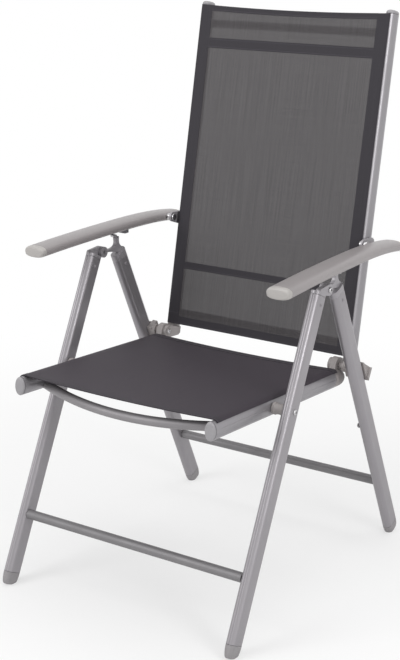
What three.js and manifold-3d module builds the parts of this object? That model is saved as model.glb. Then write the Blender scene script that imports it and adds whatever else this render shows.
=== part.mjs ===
// Folding high-back armchair: aluminium tubes, stretched mesh seat and back.
// Millimetres, +Z up, +X to the sitter's left, the chair faces -Y, floor at Z = 0.
import * as THREE from 'three';
import { mergeVertices } from 'three/addons/utils/BufferGeometryUtils.js';
import Module from 'manifold-3d';

const wasm = await Module();
wasm.setup();

// Clearances
const SEAT_GAP = 0.3;
const RUN_GAP = 0.4;
const PLUG_GAP = 0.3;
const CUT_OVER = 2;
const MERGE_GAP = 0.0001;

// Layout in the side view: places are Y and Z
const FRONT_FOOT_Y = -314;
const FRONT_LEAN = THREE.MathUtils.degToRad(25.8);
const REAR_FOOT_Y = 322;
const REAR_LEAN = THREE.MathUtils.degToRad(24.9);
const APEX_Z = 600;
const SEAT_PIVOT_Z = 401;
const SEAT_SLOPE = THREE.MathUtils.degToRad(3.92);
const HINGE_Y = 143;
const HINGE_Z = 407;
const BACK_LEAN = THREE.MathUtils.degToRad(11.6);
const ARM_PIVOT_Y = 205;
const ARM_PIVOT_Z = 638;
const NOTCH_Y = 44;
const NOTCH_Z = 624;

// Layout across the chair: centre planes measured from the middle
const FRONT_LEG_X = 256;
const REAR_LEG_X = 251;
const SEAT_RAIL_X = 211;
const BACK_RAIL_X = 212;
const ARM_X = 260.5;
const ARM_TOE = THREE.MathUtils.degToRad(1.2);

// Leg tubes: flat oval
const LEG_DEPTH = 38;
const LEG_WIDTH = 20;
const LEG_WALL = 1.5;
const FRONT_TUBE_TOP = 660;
const REAR_TUBE_TOP = 640;
const PLUG_LENGTH = 24;

// Feet: domed plugs cut flat where they stand
const FOOT_HEIGHT = 15;
const FOOT_TIP_SHARE = 0.35;

// Cross tubes of the legs
const CROSSBAR_DIAMETER = 19;
const CROSSBAR_WALL = 1.5;
const CROSSBAR_ALONG = 140.5;
const FRONT_CROSSBAR_OFFSET = -5.7;
const REAR_CROSSBAR_OFFSET = 2.2;

// Apex castings and their pivot
const LUG_RADIUS = 11;
const APEX_BOLT_RADIUS = 3.5;
const APEX_HEAD_RADIUS = 5.5;
const APEX_HEAD_HEIGHT = 3;
const COLLAR_HEIGHT = 12;
const APEX_SPLIT_X = 256;
const HORN_THICKNESS = 7.5;
const HORN_TIP_RADIUS = 5.5;
const HORN_TIP_DROP = 4;
const HORN_NECK_Y = 44;
const HORN_NECK_DROP = 4;
const NOTCH_PIN_RADIUS = 3.5;
const NOTCH_PIN_LENGTH = 12;
const NOTCH_PIN_X = 258;

// Seat frame
const SEAT_RAIL_HEIGHT = 35;
const SEAT_RAIL_WIDTH = 22;
const SEAT_RAIL_WALL = 1.6;
const SEAT_RAIL_FRONT = 188;
const SEAT_RAIL_REAR = 236;
const SEAT_CAP_DOME = 6;
const SEAT_CAP_TIP_SHARE = 0.45;
const BOW_DIAMETER = 18;
const BOW_MIDDLE_Y = -163.8;
const BOW_MIDDLE_Z = -19.6;
const BOW_END_X = 200;
const BOW_END_SETBACK = 37.3;
const BOW_END_RISE = 10.9;
const BOW_STEPS = 14;
const SEAT_REAR_TUBE_DIAMETER = 16;
const SEAT_REAR_TUBE_INSET = 14;
const SEAT_REAR_TUBE_Z = -5;
const SPACER_RADIUS = 11.5;
const SEAT_BOLT_RADIUS = 3.5;
const SEAT_BOLT_HEAD_RADIUS = 5.5;
const SEAT_BOLT_HEAD_HEIGHT = 2.5;

// Hinge between seat, back and the saddle on the rear leg
const HINGE_RADIUS = 16;
const EAR_ROOT_RADIUS = 12;
const HINGE_BOLT_RADIUS = 4;
const HINGE_HEAD_RADIUS = 9;
const HINGE_HEAD_HEIGHT = 3;
const BLOCK_INNER_X = 193;
const BLOCK_RADIUS = 13;
const BLOCK_BOTTOM = -5;
const BLOCK_LEVER_RADIUS = 9;
const BLOCK_LEVER_SHORT = 10;
const EAR_INNER_X = 200;
const EAR_THICKNESS = 13;
const EAR_END_Y = 252.5;
const SADDLE_NECK_RADIUS = 7;
const SADDLE_BARREL_RADIUS = 11;
const SADDLE_CHEEK_X = 229;
const SADDLE_CHEEK_FRONT = 10;
const SADDLE_TOP = 10;
const SADDLE_CHEEK_DROP = 17;
const SADDLE_WEDGE_DROP = 37;
const SADDLE_WEDGE_DEPTH = 21.5;
const SADDLE_WEDGE_TIP_DROP = 21;
const SADDLE_WEB = 5;
const SADDLE_RIM = 4.5;
const STUD_ALONG = 307;
const STUD_OFFSET = -9;
const STUD_RADIUS = 5;
const STUD_HEIGHT = 5;

// Back frame
const BACK_RAIL_DEPTH = 34;
const BACK_RAIL_WIDTH = 22;
const BACK_RAIL_WALL = 1.6;
const BACK_RAIL_SETBACK = 44.5;
const BACK_RAIL_BOTTOM = 22.5;
const BACK_RAIL_TOP = 684;
const BACK_CAP_DOME = 7;
const BACK_CAP_TIP_SHARE = 0.3;
const BACK_TUBE_DIAMETER = 17;
const BACK_TUBE_WALL = 1.5;
const BACK_TOP_TUBE_INSET = 37;
const BACK_LOWER_TUBE_INSET = 15.5;
const BRACKET_THICKNESS = 4;
const BRACKET_RADIUS = 10;
const BRACKET_ROOT_RADIUS = 14;

// Stretched fabric
const FABRIC_THICKNESS = 2;
const SEAT_FABRIC_FRONT_INSET = 7;
const SEAT_FABRIC_REAR_OVER = 7;
const SEAT_FABRIC_SAG = 9;
const SEAT_FABRIC_HALF_WIDTH = 219;
const BACK_FABRIC_OVER = 7;
const BACK_FABRIC_INSET = 1;
const BACK_FABRIC_SAG = 5;
const BACK_FABRIC_DIP = 8;
const BACK_FABRIC_HALF_WIDTH = 216;
const CLOTH_GAP = 0.5;
const CLOTH_REST = 8;
const CLOTH_COLUMNS = 8;
const CLOTH_ROWS = 12;
const SAG_END_SHARE = 0.15;

// Armrests
const ARM_WIDTH = 50;
const ARM_THICKNESS = 22;
const ARM_SECTION_POWER = 2.5;
const ARM_FRONT = 400;
const ARM_REAR = 67;
const ARM_CAP_LENGTH = 14;
const ARM_TIP_SHARE = 0.45;
const ARM_STATIONS = 16;
const ARM_CROWN_Y = -165;
const ARM_CROWN_Z = 3.2;
const ARM_FRONT_DROP = 4.3;
const ARM_REAR_DROP = 12.9;
const ARM_BOLT_RADIUS = 4;
const ARM_BOLT_DEPTH = 14;
const ARM_COLLAR_RADIUS = 7;
const CHANNEL_X = -5;
const CHANNEL_WIDTH = 22;
const CHANNEL_CEILING = -3.2;
const CHANNEL_FRONT = 320;
const CHANNEL_REAR = 124;
const NOTCH_RAIL_THICKNESS = 3;
const NOTCH_COUNT = 7;
const NOTCH_TRAVEL = 113;
const NOTCH_RADIUS = 4.5;
const NOTCH_DEPTH = 1.5;
const STOP_TAB_LENGTH = 12;
const STOP_TAB_DROP = 9.5;

// Mesh fineness
const ARC_SEGMENTS = 7;
const OVAL_SIDES = 24;
const TUBE_SIDES = 16;
const DOME_STEPS = 4;
const ROUND_STEPS = 16;

const silver = () => new THREE.MeshStandardMaterial({ color: 0xa9a7ab, roughness: 0.38, metalness: 0.85 });
const casting = () => new THREE.MeshStandardMaterial({ color: 0x98969a, roughness: 0.5, metalness: 0.6 });
const steel = () => new THREE.MeshStandardMaterial({ color: 0xb9b8ba, roughness: 0.3, metalness: 1 });
const greyPlastic = () => new THREE.MeshStandardMaterial({ color: 0xaaa6a3, roughness: 0.55, metalness: 0 });
const darkPlastic = () => new THREE.MeshStandardMaterial({ color: 0x77747a, roughness: 0.6, metalness: 0 });
const cloth = () => new THREE.MeshStandardMaterial({ color: 0x4a464c, roughness: 0.9, metalness: 0 });

// Turn a closed geometry into a solid for cuts and joins, and back again
function toSolid(geometry) {
  const bare = geometry.index ? geometry.toNonIndexed() : geometry.clone();
  bare.deleteAttribute('normal');
  bare.deleteAttribute('uv');
  const merged = mergeVertices(bare, MERGE_GAP);
  return new wasm.Manifold(new wasm.Mesh({
    numProp: 3,
    vertProperties: new Float32Array(merged.attributes.position.array),
    triVerts: new Uint32Array(merged.index.array),
  }));
}

function toGeometry(solid) {
  const mesh = solid.getMesh();
  const geometry = new THREE.BufferGeometry();
  geometry.setAttribute('position', new THREE.BufferAttribute(new Float32Array(mesh.vertProperties), 3));
  geometry.setIndex(new THREE.BufferAttribute(new Uint32Array(mesh.triVerts), 1));
  geometry.computeVertexNormals();
  return geometry;
}

const join = (...parts) => parts.map(toSolid).reduce((whole, part) => whole.add(part));
const cut = (solid, ...tools) => tools.map(toSolid).reduce((whole, tool) => whole.subtract(tool), solid);

// The left-hand copy of a right-hand geometry
function mirrored(geometry) {
  const copy = (geometry.index ? geometry.toNonIndexed() : geometry.clone());
  const position = copy.attributes.position;
  for (let i = 0; i < position.count; i += 3) {
    const first = new THREE.Vector3().fromBufferAttribute(position, i);
    const last = new THREE.Vector3().fromBufferAttribute(position, i + 2);
    position.setXYZ(i, -last.x, last.y, last.z);
    position.setX(i + 1, -position.getX(i + 1));
    position.setXYZ(i + 2, -first.x, first.y, first.z);
  }
  copy.deleteAttribute('normal');
  copy.deleteAttribute('uv');
  const merged = mergeVertices(copy, MERGE_GAP);
  merged.computeVertexNormals();
  return merged;
}

function addMesh(group, name, geometry, material) {
  const mesh = new THREE.Mesh(geometry, material);
  mesh.name = name;
  group.add(mesh);
  return mesh;
}

// Both copies of a right-hand piece, whose geometry holds its distance from the middle
function addPair(group, name, geometry, material) {
  addMesh(group, `${name}_right`, geometry, material());
  addMesh(group, `${name}_left`, mirrored(geometry), material());
}

// Closed outlines, width across X and depth across the other way
function flatOval(width, depth) {
  const radius = width / 2;
  const straight = depth / 2 - radius;
  const shape = new THREE.Shape();
  shape.absarc(0, straight, radius, 0, Math.PI, false);
  shape.absarc(0, -straight, radius, Math.PI, 2 * Math.PI, false);
  shape.closePath();
  return shape;
}

function superOval(width, depth, power = 2, count = OVAL_SIDES) {
  const bend = (value) => Math.sign(value) * Math.abs(value) ** (2 / power);
  return new THREE.Shape(Array.from({ length: count }, (_, i) => {
    const angle = (2 * Math.PI * i) / count;
    return new THREE.Vector2(bend(Math.cos(angle)) * width / 2, bend(Math.sin(angle)) * depth / 2);
  }));
}

const oval = (width, depth) => superOval(width, depth);
const disc = (width) => superOval(width, width, 2, TUBE_SIDES);

// A shape drawn in X and Y, pushed along Z from low to high
function pushed(shape, low, high, steps = 1) {
  const geometry = new THREE.ExtrudeGeometry(shape, {
    depth: high - low, steps, bevelEnabled: false, curveSegments: ARC_SEGMENTS,
  });
  return geometry.translate(0, 0, low);
}

function tube(outline, width, depth, wall, low, high) {
  const shape = outline(width, depth);
  shape.holes.push(outline(width - 2 * wall, depth - 2 * wall));
  return pushed(shape, low, high);
}

// A side-view outline drawn as (y, z), pushed along X from inner to outer
function plate(shape, inner, outer) {
  const geometry = new THREE.ExtrudeGeometry(shape, {
    depth: outer - inner, bevelEnabled: false, curveSegments: ARC_SEGMENTS,
  });
  geometry.applyMatrix4(new THREE.Matrix4().makeBasis(
    new THREE.Vector3(0, 1, 0),
    new THREE.Vector3(0, 0, 1),
    new THREE.Vector3(1, 0, 0),
  ));
  return geometry.translate(inner, 0, 0);
}

// A round bar along X through the side-view point
function roundBar(radius, inner, outer, y = 0, z = 0) {
  const geometry = new THREE.CylinderGeometry(radius, radius, outer - inner, ROUND_STEPS);
  geometry.rotateZ(-Math.PI / 2);
  return geometry.translate((inner + outer) / 2, y, z);
}

// The belt round two discs in the side view
function belt(y1, z1, r1, y2, z2, r2) {
  const along = Math.atan2(z2 - z1, y2 - y1);
  const spread = Math.acos((r1 - r2) / Math.hypot(y2 - y1, z2 - z1));
  const shape = new THREE.Shape();
  shape.absarc(y2, z2, r2, along - spread, along + spread, false);
  shape.absarc(y1, z1, r1, along + spread, along - spread + 2 * Math.PI, false);
  shape.closePath();
  return shape;
}

function rectangle(y1, z1, y2, z2) {
  const corners = [[y1, z1], [y2, z1], [y2, z2], [y1, z2]];
  return new THREE.Shape(corners.map((place) => new THREE.Vector2(...place)));
}

// An end cap along Z: the outline shrinks evenly to the tip share of its half width
function dome(outline, width, depth, height, tipShare) {
  const geometry = pushed(outline(width, depth), 0, height, DOME_STEPS);
  const position = geometry.attributes.position;
  const reach = Math.min(width, depth) / 2;
  for (let i = 0; i < position.count; i += 1) {
    const rise = Math.min(1, position.getZ(i) / height);
    const share = tipShare + (1 - tipShare) * Math.sqrt(1 - rise ** 2);
    const x = position.getX(i);
    const y = position.getY(i);
    const keep = 1 - reach * (1 - share) / (Math.hypot(x, y) || 1);
    position.setXY(i, x * keep, y * keep);
  }
  return geometry;
}

// Places in the leaning frames
function intoFrame(y, z, originY, originZ, lean) {
  const dy = y - originY;
  const dz = z - originZ;
  return {
    y: dy * Math.cos(lean) - dz * Math.sin(lean),
    z: dy * Math.sin(lean) + dz * Math.cos(lean),
  };
}

const SEAT_PIVOT_Y = FRONT_FOOT_Y + SEAT_PIVOT_Z * Math.tan(FRONT_LEAN);
const FRONT_APEX = intoFrame(0, APEX_Z, FRONT_FOOT_Y, 0, FRONT_LEAN);
const FRONT_SEAT_PIVOT = intoFrame(SEAT_PIVOT_Y, SEAT_PIVOT_Z, FRONT_FOOT_Y, 0, FRONT_LEAN);
const REAR_APEX = intoFrame(0, APEX_Z, REAR_FOOT_Y, 0, -REAR_LEAN);
const REAR_NOTCH = intoFrame(NOTCH_Y, NOTCH_Z, REAR_FOOT_Y, 0, -REAR_LEAN);
const HORN_TIP = intoFrame(NOTCH_Y, NOTCH_Z - HORN_TIP_DROP, REAR_FOOT_Y, 0, -REAR_LEAN);
const HORN_NECK = intoFrame(HORN_NECK_Y, APEX_Z - HORN_NECK_DROP, REAR_FOOT_Y, 0, -REAR_LEAN);
const REAR_HINGE = intoFrame(HINGE_Y, HINGE_Z, REAR_FOOT_Y, 0, -REAR_LEAN);
const SEAT_HINGE = intoFrame(HINGE_Y, HINGE_Z, SEAT_PIVOT_Y, SEAT_PIVOT_Z, SEAT_SLOPE);
const BACK_ARM_PIVOT = intoFrame(ARM_PIVOT_Y, ARM_PIVOT_Z, HINGE_Y, HINGE_Z, BACK_LEAN);

function leaningGroup(name, y, z, lean) {
  const group = new THREE.Group();
  group.name = name;
  group.position.set(0, y, z);
  group.rotation.x = -lean;
  return group;
}

// A bolt along X whose head stands on the side away from its tip
function bolt(radius, headRadius, headHeight, tip, headFace, y, z) {
  const outward = Math.sign(headFace - tip);
  const headEnd = headFace + outward * headHeight;
  const head = new THREE.CylinderGeometry(radius, headRadius, headHeight, ROUND_STEPS);
  head.rotateZ(-outward * Math.PI / 2).translate((headFace + headEnd) / 2, y, z);
  return toGeometry(join(roundBar(radius, Math.min(tip, headEnd), Math.max(tip, headEnd), y, z), head));
}

// Legs: plugs, feet and cross tubes
const legPlug = (low, high) => pushed(
  flatOval(LEG_WIDTH - 2 * LEG_WALL - 2 * PLUG_GAP, LEG_DEPTH - 2 * LEG_WALL - 2 * PLUG_GAP), low, high);

const footTop = (lean) => LEG_DEPTH / 2 * Math.tan(Math.abs(lean)) + FOOT_HEIGHT;

function foot(legX, lean) {
  const top = footTop(lean);
  const cap = dome(flatOval, LEG_WIDTH, LEG_DEPTH, top, FOOT_TIP_SHARE);
  cap.rotateX(Math.PI).translate(0, 0, top);
  const floor = new THREE.BoxGeometry(LEG_DEPTH, 2 * LEG_DEPTH, LEG_DEPTH);
  floor.translate(0, 0, -LEG_DEPTH / 2).rotateX(lean);
  return toGeometry(cut(join(cap, legPlug(top - CUT_OVER, top + PLUG_LENGTH)), floor)).translate(legX, 0, 0);
}

function legEnvelope(legX) {
  return pushed(flatOval(LEG_WIDTH + 2 * SEAT_GAP, LEG_DEPTH + 2 * SEAT_GAP), 0, 2 * CROSSBAR_ALONG)
    .translate(legX, 0, 0);
}

function crossTube(diameter, wall, half, y, z) {
  return tube(disc, diameter, diameter, wall, -half, half).rotateY(Math.PI / 2).translate(0, y, z);
}

function crossbar(legX, offset) {
  return toGeometry(cut(
    toSolid(crossTube(CROSSBAR_DIAMETER, CROSSBAR_WALL, legX, offset, CROSSBAR_ALONG)),
    legEnvelope(legX), mirrored(legEnvelope(legX))));
}

// Front frame
const frontFrame = leaningGroup('front_frame', FRONT_FOOT_Y, 0, FRONT_LEAN);
const seatBolt = (grow, inner, outer, z) => roundBar(SEAT_BOLT_RADIUS + grow, inner, outer, 0, z);
const frontLeg = cut(
  toSolid(tube(flatOval, LEG_WIDTH, LEG_DEPTH, LEG_WALL, footTop(FRONT_LEAN) + SEAT_GAP, FRONT_TUBE_TOP)
    .translate(FRONT_LEG_X, 0, 0)),
  seatBolt(RUN_GAP, FRONT_LEG_X - LEG_WIDTH, FRONT_LEG_X + LEG_WIDTH, FRONT_SEAT_PIVOT.z),
);
addPair(frontFrame, 'front_leg', toGeometry(frontLeg), silver);
addPair(frontFrame, 'front_foot', foot(FRONT_LEG_X, FRONT_LEAN), darkPlastic);
addMesh(frontFrame, 'front_crossbar', crossbar(FRONT_LEG_X, FRONT_CROSSBAR_OFFSET), silver());

const legOuter = FRONT_LEG_X + LEG_WIDTH / 2;
const legInner = FRONT_LEG_X - LEG_WIDTH / 2;
const frontCollarLow = FRONT_TUBE_TOP + SEAT_GAP;
const frontCollarHigh = frontCollarLow + COLLAR_HEIGHT / 2;
const hornOuter = APEX_SPLIT_X - SEAT_GAP;
const hornInner = hornOuter - HORN_THICKNESS;
const apexBore = (place) => roundBar(
  APEX_BOLT_RADIUS + RUN_GAP, REAR_LEG_X - LEG_WIDTH, FRONT_LEG_X + LEG_WIDTH, place.y, place.z);
const frontJoint = cut(
  join(
    pushed(flatOval(LEG_WIDTH, LEG_DEPTH), frontCollarLow, frontCollarHigh).translate(FRONT_LEG_X, 0, 0),
    legPlug(FRONT_TUBE_TOP - PLUG_LENGTH, frontCollarHigh - CUT_OVER).translate(FRONT_LEG_X, 0, 0),
    plate(belt(FRONT_APEX.y, FRONT_APEX.z, LUG_RADIUS, COLLAR_HEIGHT - LEG_DEPTH / 2, frontCollarHigh,
      COLLAR_HEIGHT / 2), APEX_SPLIT_X + SEAT_GAP, legOuter),
  ),
  roundBar(LUG_RADIUS + RUN_GAP, legInner - CUT_OVER, APEX_SPLIT_X + SEAT_GAP, FRONT_APEX.y, FRONT_APEX.z),
  apexBore(FRONT_APEX),
);
addPair(frontFrame, 'front_joint', toGeometry(frontJoint), casting);
addPair(frontFrame, 'apex_bolt', bolt(
  APEX_BOLT_RADIUS, APEX_HEAD_RADIUS, APEX_HEAD_HEIGHT,
  hornInner, legOuter + SEAT_GAP, FRONT_APEX.y, FRONT_APEX.z), steel);

const railOuter = SEAT_RAIL_X + SEAT_RAIL_WIDTH / 2;
const railInner = SEAT_RAIL_X - SEAT_RAIL_WIDTH / 2;
const spacer = cut(
  toSolid(roundBar(SPACER_RADIUS, railOuter + SEAT_GAP, legInner - SEAT_GAP, 0, FRONT_SEAT_PIVOT.z)),
  seatBolt(RUN_GAP, railOuter - CUT_OVER, legInner + CUT_OVER, FRONT_SEAT_PIVOT.z),
);
addPair(frontFrame, 'seat_spacer', toGeometry(spacer), greyPlastic);
addPair(frontFrame, 'seat_pivot_bolt', bolt(
  SEAT_BOLT_RADIUS, SEAT_BOLT_HEAD_RADIUS, SEAT_BOLT_HEAD_HEIGHT,
  railInner - SEAT_BOLT_HEAD_HEIGHT, legOuter + SEAT_GAP, 0, FRONT_SEAT_PIVOT.z), steel);

// Rear frame, with the horn and pin that carry the armrest
const rearFrame = leaningGroup('rear_frame', REAR_FOOT_Y, 0, -REAR_LEAN);
addPair(rearFrame, 'rear_leg', tube(
  flatOval, LEG_WIDTH, LEG_DEPTH, LEG_WALL, footTop(REAR_LEAN) + SEAT_GAP, REAR_TUBE_TOP)
  .translate(REAR_LEG_X, 0, 0), silver);
addPair(rearFrame, 'rear_foot', foot(REAR_LEG_X, -REAR_LEAN), darkPlastic);
addMesh(rearFrame, 'rear_crossbar', crossbar(REAR_LEG_X, REAR_CROSSBAR_OFFSET), silver());

const rearCollarLow = REAR_TUBE_TOP + SEAT_GAP;
const rearCollarHigh = rearCollarLow + COLLAR_HEIGHT;
const horn = new THREE.Shape();
horn.moveTo(REAR_APEX.y, REAR_APEX.z);
horn.lineTo(LEG_DEPTH / 2 - LEG_WALL, rearCollarLow);
horn.lineTo(LEG_DEPTH / 2 - LEG_WALL, rearCollarHigh);
horn.quadraticCurveTo(
  HORN_TIP.y - HORN_TIP_RADIUS, rearCollarHigh + COLLAR_HEIGHT, HORN_TIP.y + HORN_TIP_RADIUS, HORN_TIP.z);
horn.absarc(HORN_TIP.y, HORN_TIP.z, HORN_TIP_RADIUS, 0, Math.PI, false);
horn.quadraticCurveTo(HORN_NECK.y, HORN_NECK.z, REAR_APEX.y, REAR_APEX.z + LUG_RADIUS / 2);
horn.closePath();
const rearJoint = cut(
  join(
    pushed(flatOval(LEG_WIDTH, LEG_DEPTH), rearCollarLow, rearCollarHigh).translate(REAR_LEG_X, 0, 0),
    legPlug(REAR_TUBE_TOP - PLUG_LENGTH, rearCollarLow + CUT_OVER).translate(REAR_LEG_X, 0, 0),
    roundBar(LUG_RADIUS, hornInner, hornOuter, REAR_APEX.y, REAR_APEX.z),
    plate(horn, hornInner, hornOuter),
  ),
  apexBore(REAR_APEX),
  roundBar(NOTCH_PIN_RADIUS + SEAT_GAP, hornInner - CUT_OVER, hornOuter + CUT_OVER,
    REAR_NOTCH.y, REAR_NOTCH.z),
);
addPair(rearFrame, 'rear_joint', toGeometry(rearJoint), casting);
addPair(rearFrame, 'notch_pin', roundBar(
  NOTCH_PIN_RADIUS, NOTCH_PIN_X - NOTCH_PIN_LENGTH / 2, NOTCH_PIN_X + NOTCH_PIN_LENGTH / 2,
  REAR_NOTCH.y, REAR_NOTCH.z), steel);
const studX = REAR_LEG_X - LEG_WIDTH / 2 - SEAT_GAP;
addPair(rearFrame, 'leg_stud', roundBar(
  STUD_RADIUS, studX - STUD_HEIGHT, studX, STUD_OFFSET, STUD_ALONG), darkPlastic);

// Seat frame: rails, caps, cross tubes, fabric, hinge ears
const seat = leaningGroup('seat', SEAT_PIVOT_Y, SEAT_PIVOT_Z, SEAT_SLOPE);
const alongRail = (geometry) => geometry.rotateX(-Math.PI / 2);
const seatSection = (grow, low, high) => alongRail(pushed(
  oval(SEAT_RAIL_WIDTH + 2 * grow, SEAT_RAIL_HEIGHT + 2 * grow), low, high)).translate(SEAT_RAIL_X, 0, 0);
const seatRail = cut(
  toSolid(alongRail(tube(
    oval, SEAT_RAIL_WIDTH, SEAT_RAIL_HEIGHT, SEAT_RAIL_WALL, -SEAT_RAIL_FRONT, SEAT_RAIL_REAR))
    .translate(SEAT_RAIL_X, 0, 0)),
  seatBolt(RUN_GAP, SEAT_RAIL_X - SEAT_RAIL_WIDTH, SEAT_RAIL_X + SEAT_RAIL_WIDTH, 0),
);
addPair(seat, 'seat_rail', toGeometry(seatRail), silver);

const seatPlugGrow = -SEAT_RAIL_WALL - PLUG_GAP;
const seatDome = dome(oval, SEAT_RAIL_WIDTH, SEAT_RAIL_HEIGHT, SEAT_CAP_DOME, SEAT_CAP_TIP_SHARE);
const seatCap = join(
  alongRail(seatDome.rotateX(Math.PI)).translate(SEAT_RAIL_X, -SEAT_RAIL_FRONT - SEAT_GAP, 0),
  seatSection(seatPlugGrow, -SEAT_RAIL_FRONT - CUT_OVER, -SEAT_RAIL_FRONT + PLUG_LENGTH / 2),
);
addPair(seat, 'seat_rail_cap', toGeometry(seatCap), greyPlastic);

class BowCurve extends THREE.Curve {
  getPoint(t, target = new THREE.Vector3()) {
    const across = 2 * t - 1;
    const share = (across * SEAT_RAIL_X / BOW_END_X) ** 2;
    return target.set(
      across * SEAT_RAIL_X, BOW_MIDDLE_Y + BOW_END_SETBACK * share, BOW_MIDDLE_Z + BOW_END_RISE * share);
  }
}
const seatEnvelope = seatSection(SEAT_GAP, -SEAT_RAIL_FRONT, SEAT_RAIL_REAR);
const bow = new THREE.ExtrudeGeometry(disc(BOW_DIAMETER), {
  steps: BOW_STEPS, extrudePath: new BowCurve(), bevelEnabled: false, curveSegments: ARC_SEGMENTS,
});
const bowSolid = cut(toSolid(bow), seatEnvelope, mirrored(seatEnvelope));
addMesh(seat, 'seat_front_tube', toGeometry(bowSolid), silver());
addMesh(seat, 'seat_rear_tube', toGeometry(cut(
  toSolid(crossTube(SEAT_REAR_TUBE_DIAMETER, BACK_TUBE_WALL, SEAT_RAIL_X,
    SEAT_RAIL_REAR - SEAT_REAR_TUBE_INSET, SEAT_REAR_TUBE_Z)),
  seatEnvelope, mirrored(seatEnvelope))), silver());

// Stretched cloth: a thin slab that lies over both rails and sags between them
const clothLift = CLOTH_GAP + FABRIC_THICKNESS / 2;
function clothSlab(railX, halfWidth, low, high, surface, endCurve) {
  const slab = new THREE.BoxGeometry(1, 1, 1, 2 * CLOTH_COLUMNS, 1, CLOTH_ROWS);
  const position = slab.attributes.position;
  const flat = CLOTH_COLUMNS - 3;
  for (let i = 0; i < position.count; i += 1) {
    const column = position.getX(i) * 2 * CLOTH_COLUMNS;
    const outer = Math.max(0, Math.abs(column) - flat);
    const reach = outer < 1
      ? (railX - CLOTH_REST) * Math.min(1, Math.abs(column) / flat) + CLOTH_REST * outer
      : railX + (halfWidth - railX) * (outer - 1) / 2;
    const x = Math.sign(column) * reach;
    const share = position.getZ(i) + 1 / 2;
    position.setXYZ(i, x, surface(x, share) + position.getY(i) * FABRIC_THICKNESS,
      low + share * (high - low) + endCurve(x, share));
  }
  return slab;
}

function overRail(x, railX, width, depth) {
  const beyond = Math.max(0, Math.abs(x) - railX) / (width / 2 + clothLift);
  return (depth / 2 + clothLift) * Math.sqrt(1 - beyond ** 2);
}

function sag(amount, x, railX, share) {
  const spread = Math.min(1, Math.abs(x) / (railX - CLOTH_REST));
  return amount * Math.sin(Math.PI * (SAG_END_SHARE + (1 - 2 * SAG_END_SHARE) * share)) * (1 - spread ** 2);
}
const seatSurface = (x, share) => overRail(x, SEAT_RAIL_X, SEAT_RAIL_WIDTH, SEAT_RAIL_HEIGHT)
  - sag(SEAT_FABRIC_SAG, x, SEAT_RAIL_X, share);
addMesh(seat, 'seat_fabric', clothSlab(
  SEAT_RAIL_X, SEAT_FABRIC_HALF_WIDTH, -SEAT_RAIL_REAR - SEAT_FABRIC_REAR_OVER,
  SEAT_RAIL_FRONT - SEAT_FABRIC_FRONT_INSET, seatSurface, () => 0)
  .rotateX(Math.PI / 2), cloth());

// Hinge ear: a plug in the rail's rear end, a rounded end, and the disc of the hinge
const earEnd = toSolid(seatSection(0, SEAT_RAIL_REAR + SEAT_GAP, EAR_END_Y + SEAT_RAIL_HEIGHT))
  .intersect(join(
    roundBar(SEAT_RAIL_HEIGHT / 2, railInner - CUT_OVER, railOuter + CUT_OVER, EAR_END_Y, 0),
    plate(rectangle(SEAT_RAIL_REAR, -SEAT_RAIL_HEIGHT / 2, EAR_END_Y, SEAT_RAIL_HEIGHT / 2),
      railInner - CUT_OVER, railOuter + CUT_OVER),
  ));
const ear = cut(
  earEnd.add(join(
    seatSection(seatPlugGrow, SEAT_RAIL_REAR - PLUG_LENGTH, SEAT_RAIL_REAR + CUT_OVER),
    plate(belt(SEAT_HINGE.y, SEAT_HINGE.z, HINGE_RADIUS, EAR_END_Y, 0, EAR_ROOT_RADIUS),
      EAR_INNER_X, EAR_INNER_X + EAR_THICKNESS),
  )),
  roundBar(HINGE_BOLT_RADIUS + RUN_GAP, EAR_INNER_X - CUT_OVER, EAR_INNER_X + EAR_THICKNESS + CUT_OVER,
    SEAT_HINGE.y, SEAT_HINGE.z),
);
addPair(seat, 'hinge_ear', toGeometry(ear), greyPlastic);

// Saddles that slide on the rear legs, and the hinge bolts
const saddles = leaningGroup('saddles', HINGE_Y, HINGE_Z, -REAR_LEAN);
const legBack = LEG_DEPTH / 2 - REAR_HINGE.y + SEAT_GAP;
const webBack = legBack + SADDLE_WEB;
const cheekOuter = REAR_LEG_X - LEG_WIDTH / 2 - SEAT_GAP;
const wedgeOuter = REAR_LEG_X + LEG_WIDTH / 2;
const wedgeBack = legBack + SADDLE_WEDGE_DEPTH;
const earOuter = EAR_INNER_X + EAR_THICKNESS + RUN_GAP;
const outline = (places) => new THREE.Shape(places.map((place) => new THREE.Vector2(...place)));
const wedge = outline([
  [legBack, -SADDLE_WEDGE_DROP], [wedgeBack, -SADDLE_WEDGE_TIP_DROP], [legBack, SADDLE_TOP],
]);
const wedgeRim = outline([
  [legBack, -SADDLE_WEDGE_DROP],
  [wedgeBack, -SADDLE_WEDGE_TIP_DROP],
  [wedgeBack - SADDLE_WEB, SADDLE_WEB - SADDLE_WEDGE_TIP_DROP],
  [legBack, 2 * SADDLE_WEB - SADDLE_WEDGE_DROP],
]);
const saddle = cut(
  join(
    roundBar(SADDLE_NECK_RADIUS, earOuter, cheekOuter),
    roundBar(SADDLE_BARREL_RADIUS, railOuter + RUN_GAP, cheekOuter),
    plate(rectangle(-SADDLE_CHEEK_FRONT, -SADDLE_CHEEK_DROP, webBack, SADDLE_TOP),
      SADDLE_CHEEK_X, cheekOuter),
    plate(rectangle(legBack, -SADDLE_CHEEK_DROP, webBack, SADDLE_TOP - SADDLE_WEB),
      SADDLE_CHEEK_X, wedgeOuter),
    plate(wedge, REAR_LEG_X, wedgeOuter),
    plate(wedgeRim, REAR_LEG_X, wedgeOuter + SADDLE_RIM),
  ),
  roundBar(HINGE_BOLT_RADIUS + RUN_GAP, earOuter - CUT_OVER, cheekOuter - SADDLE_WEB),
);
addPair(saddles, 'leg_saddle', toGeometry(saddle), greyPlastic);
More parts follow.
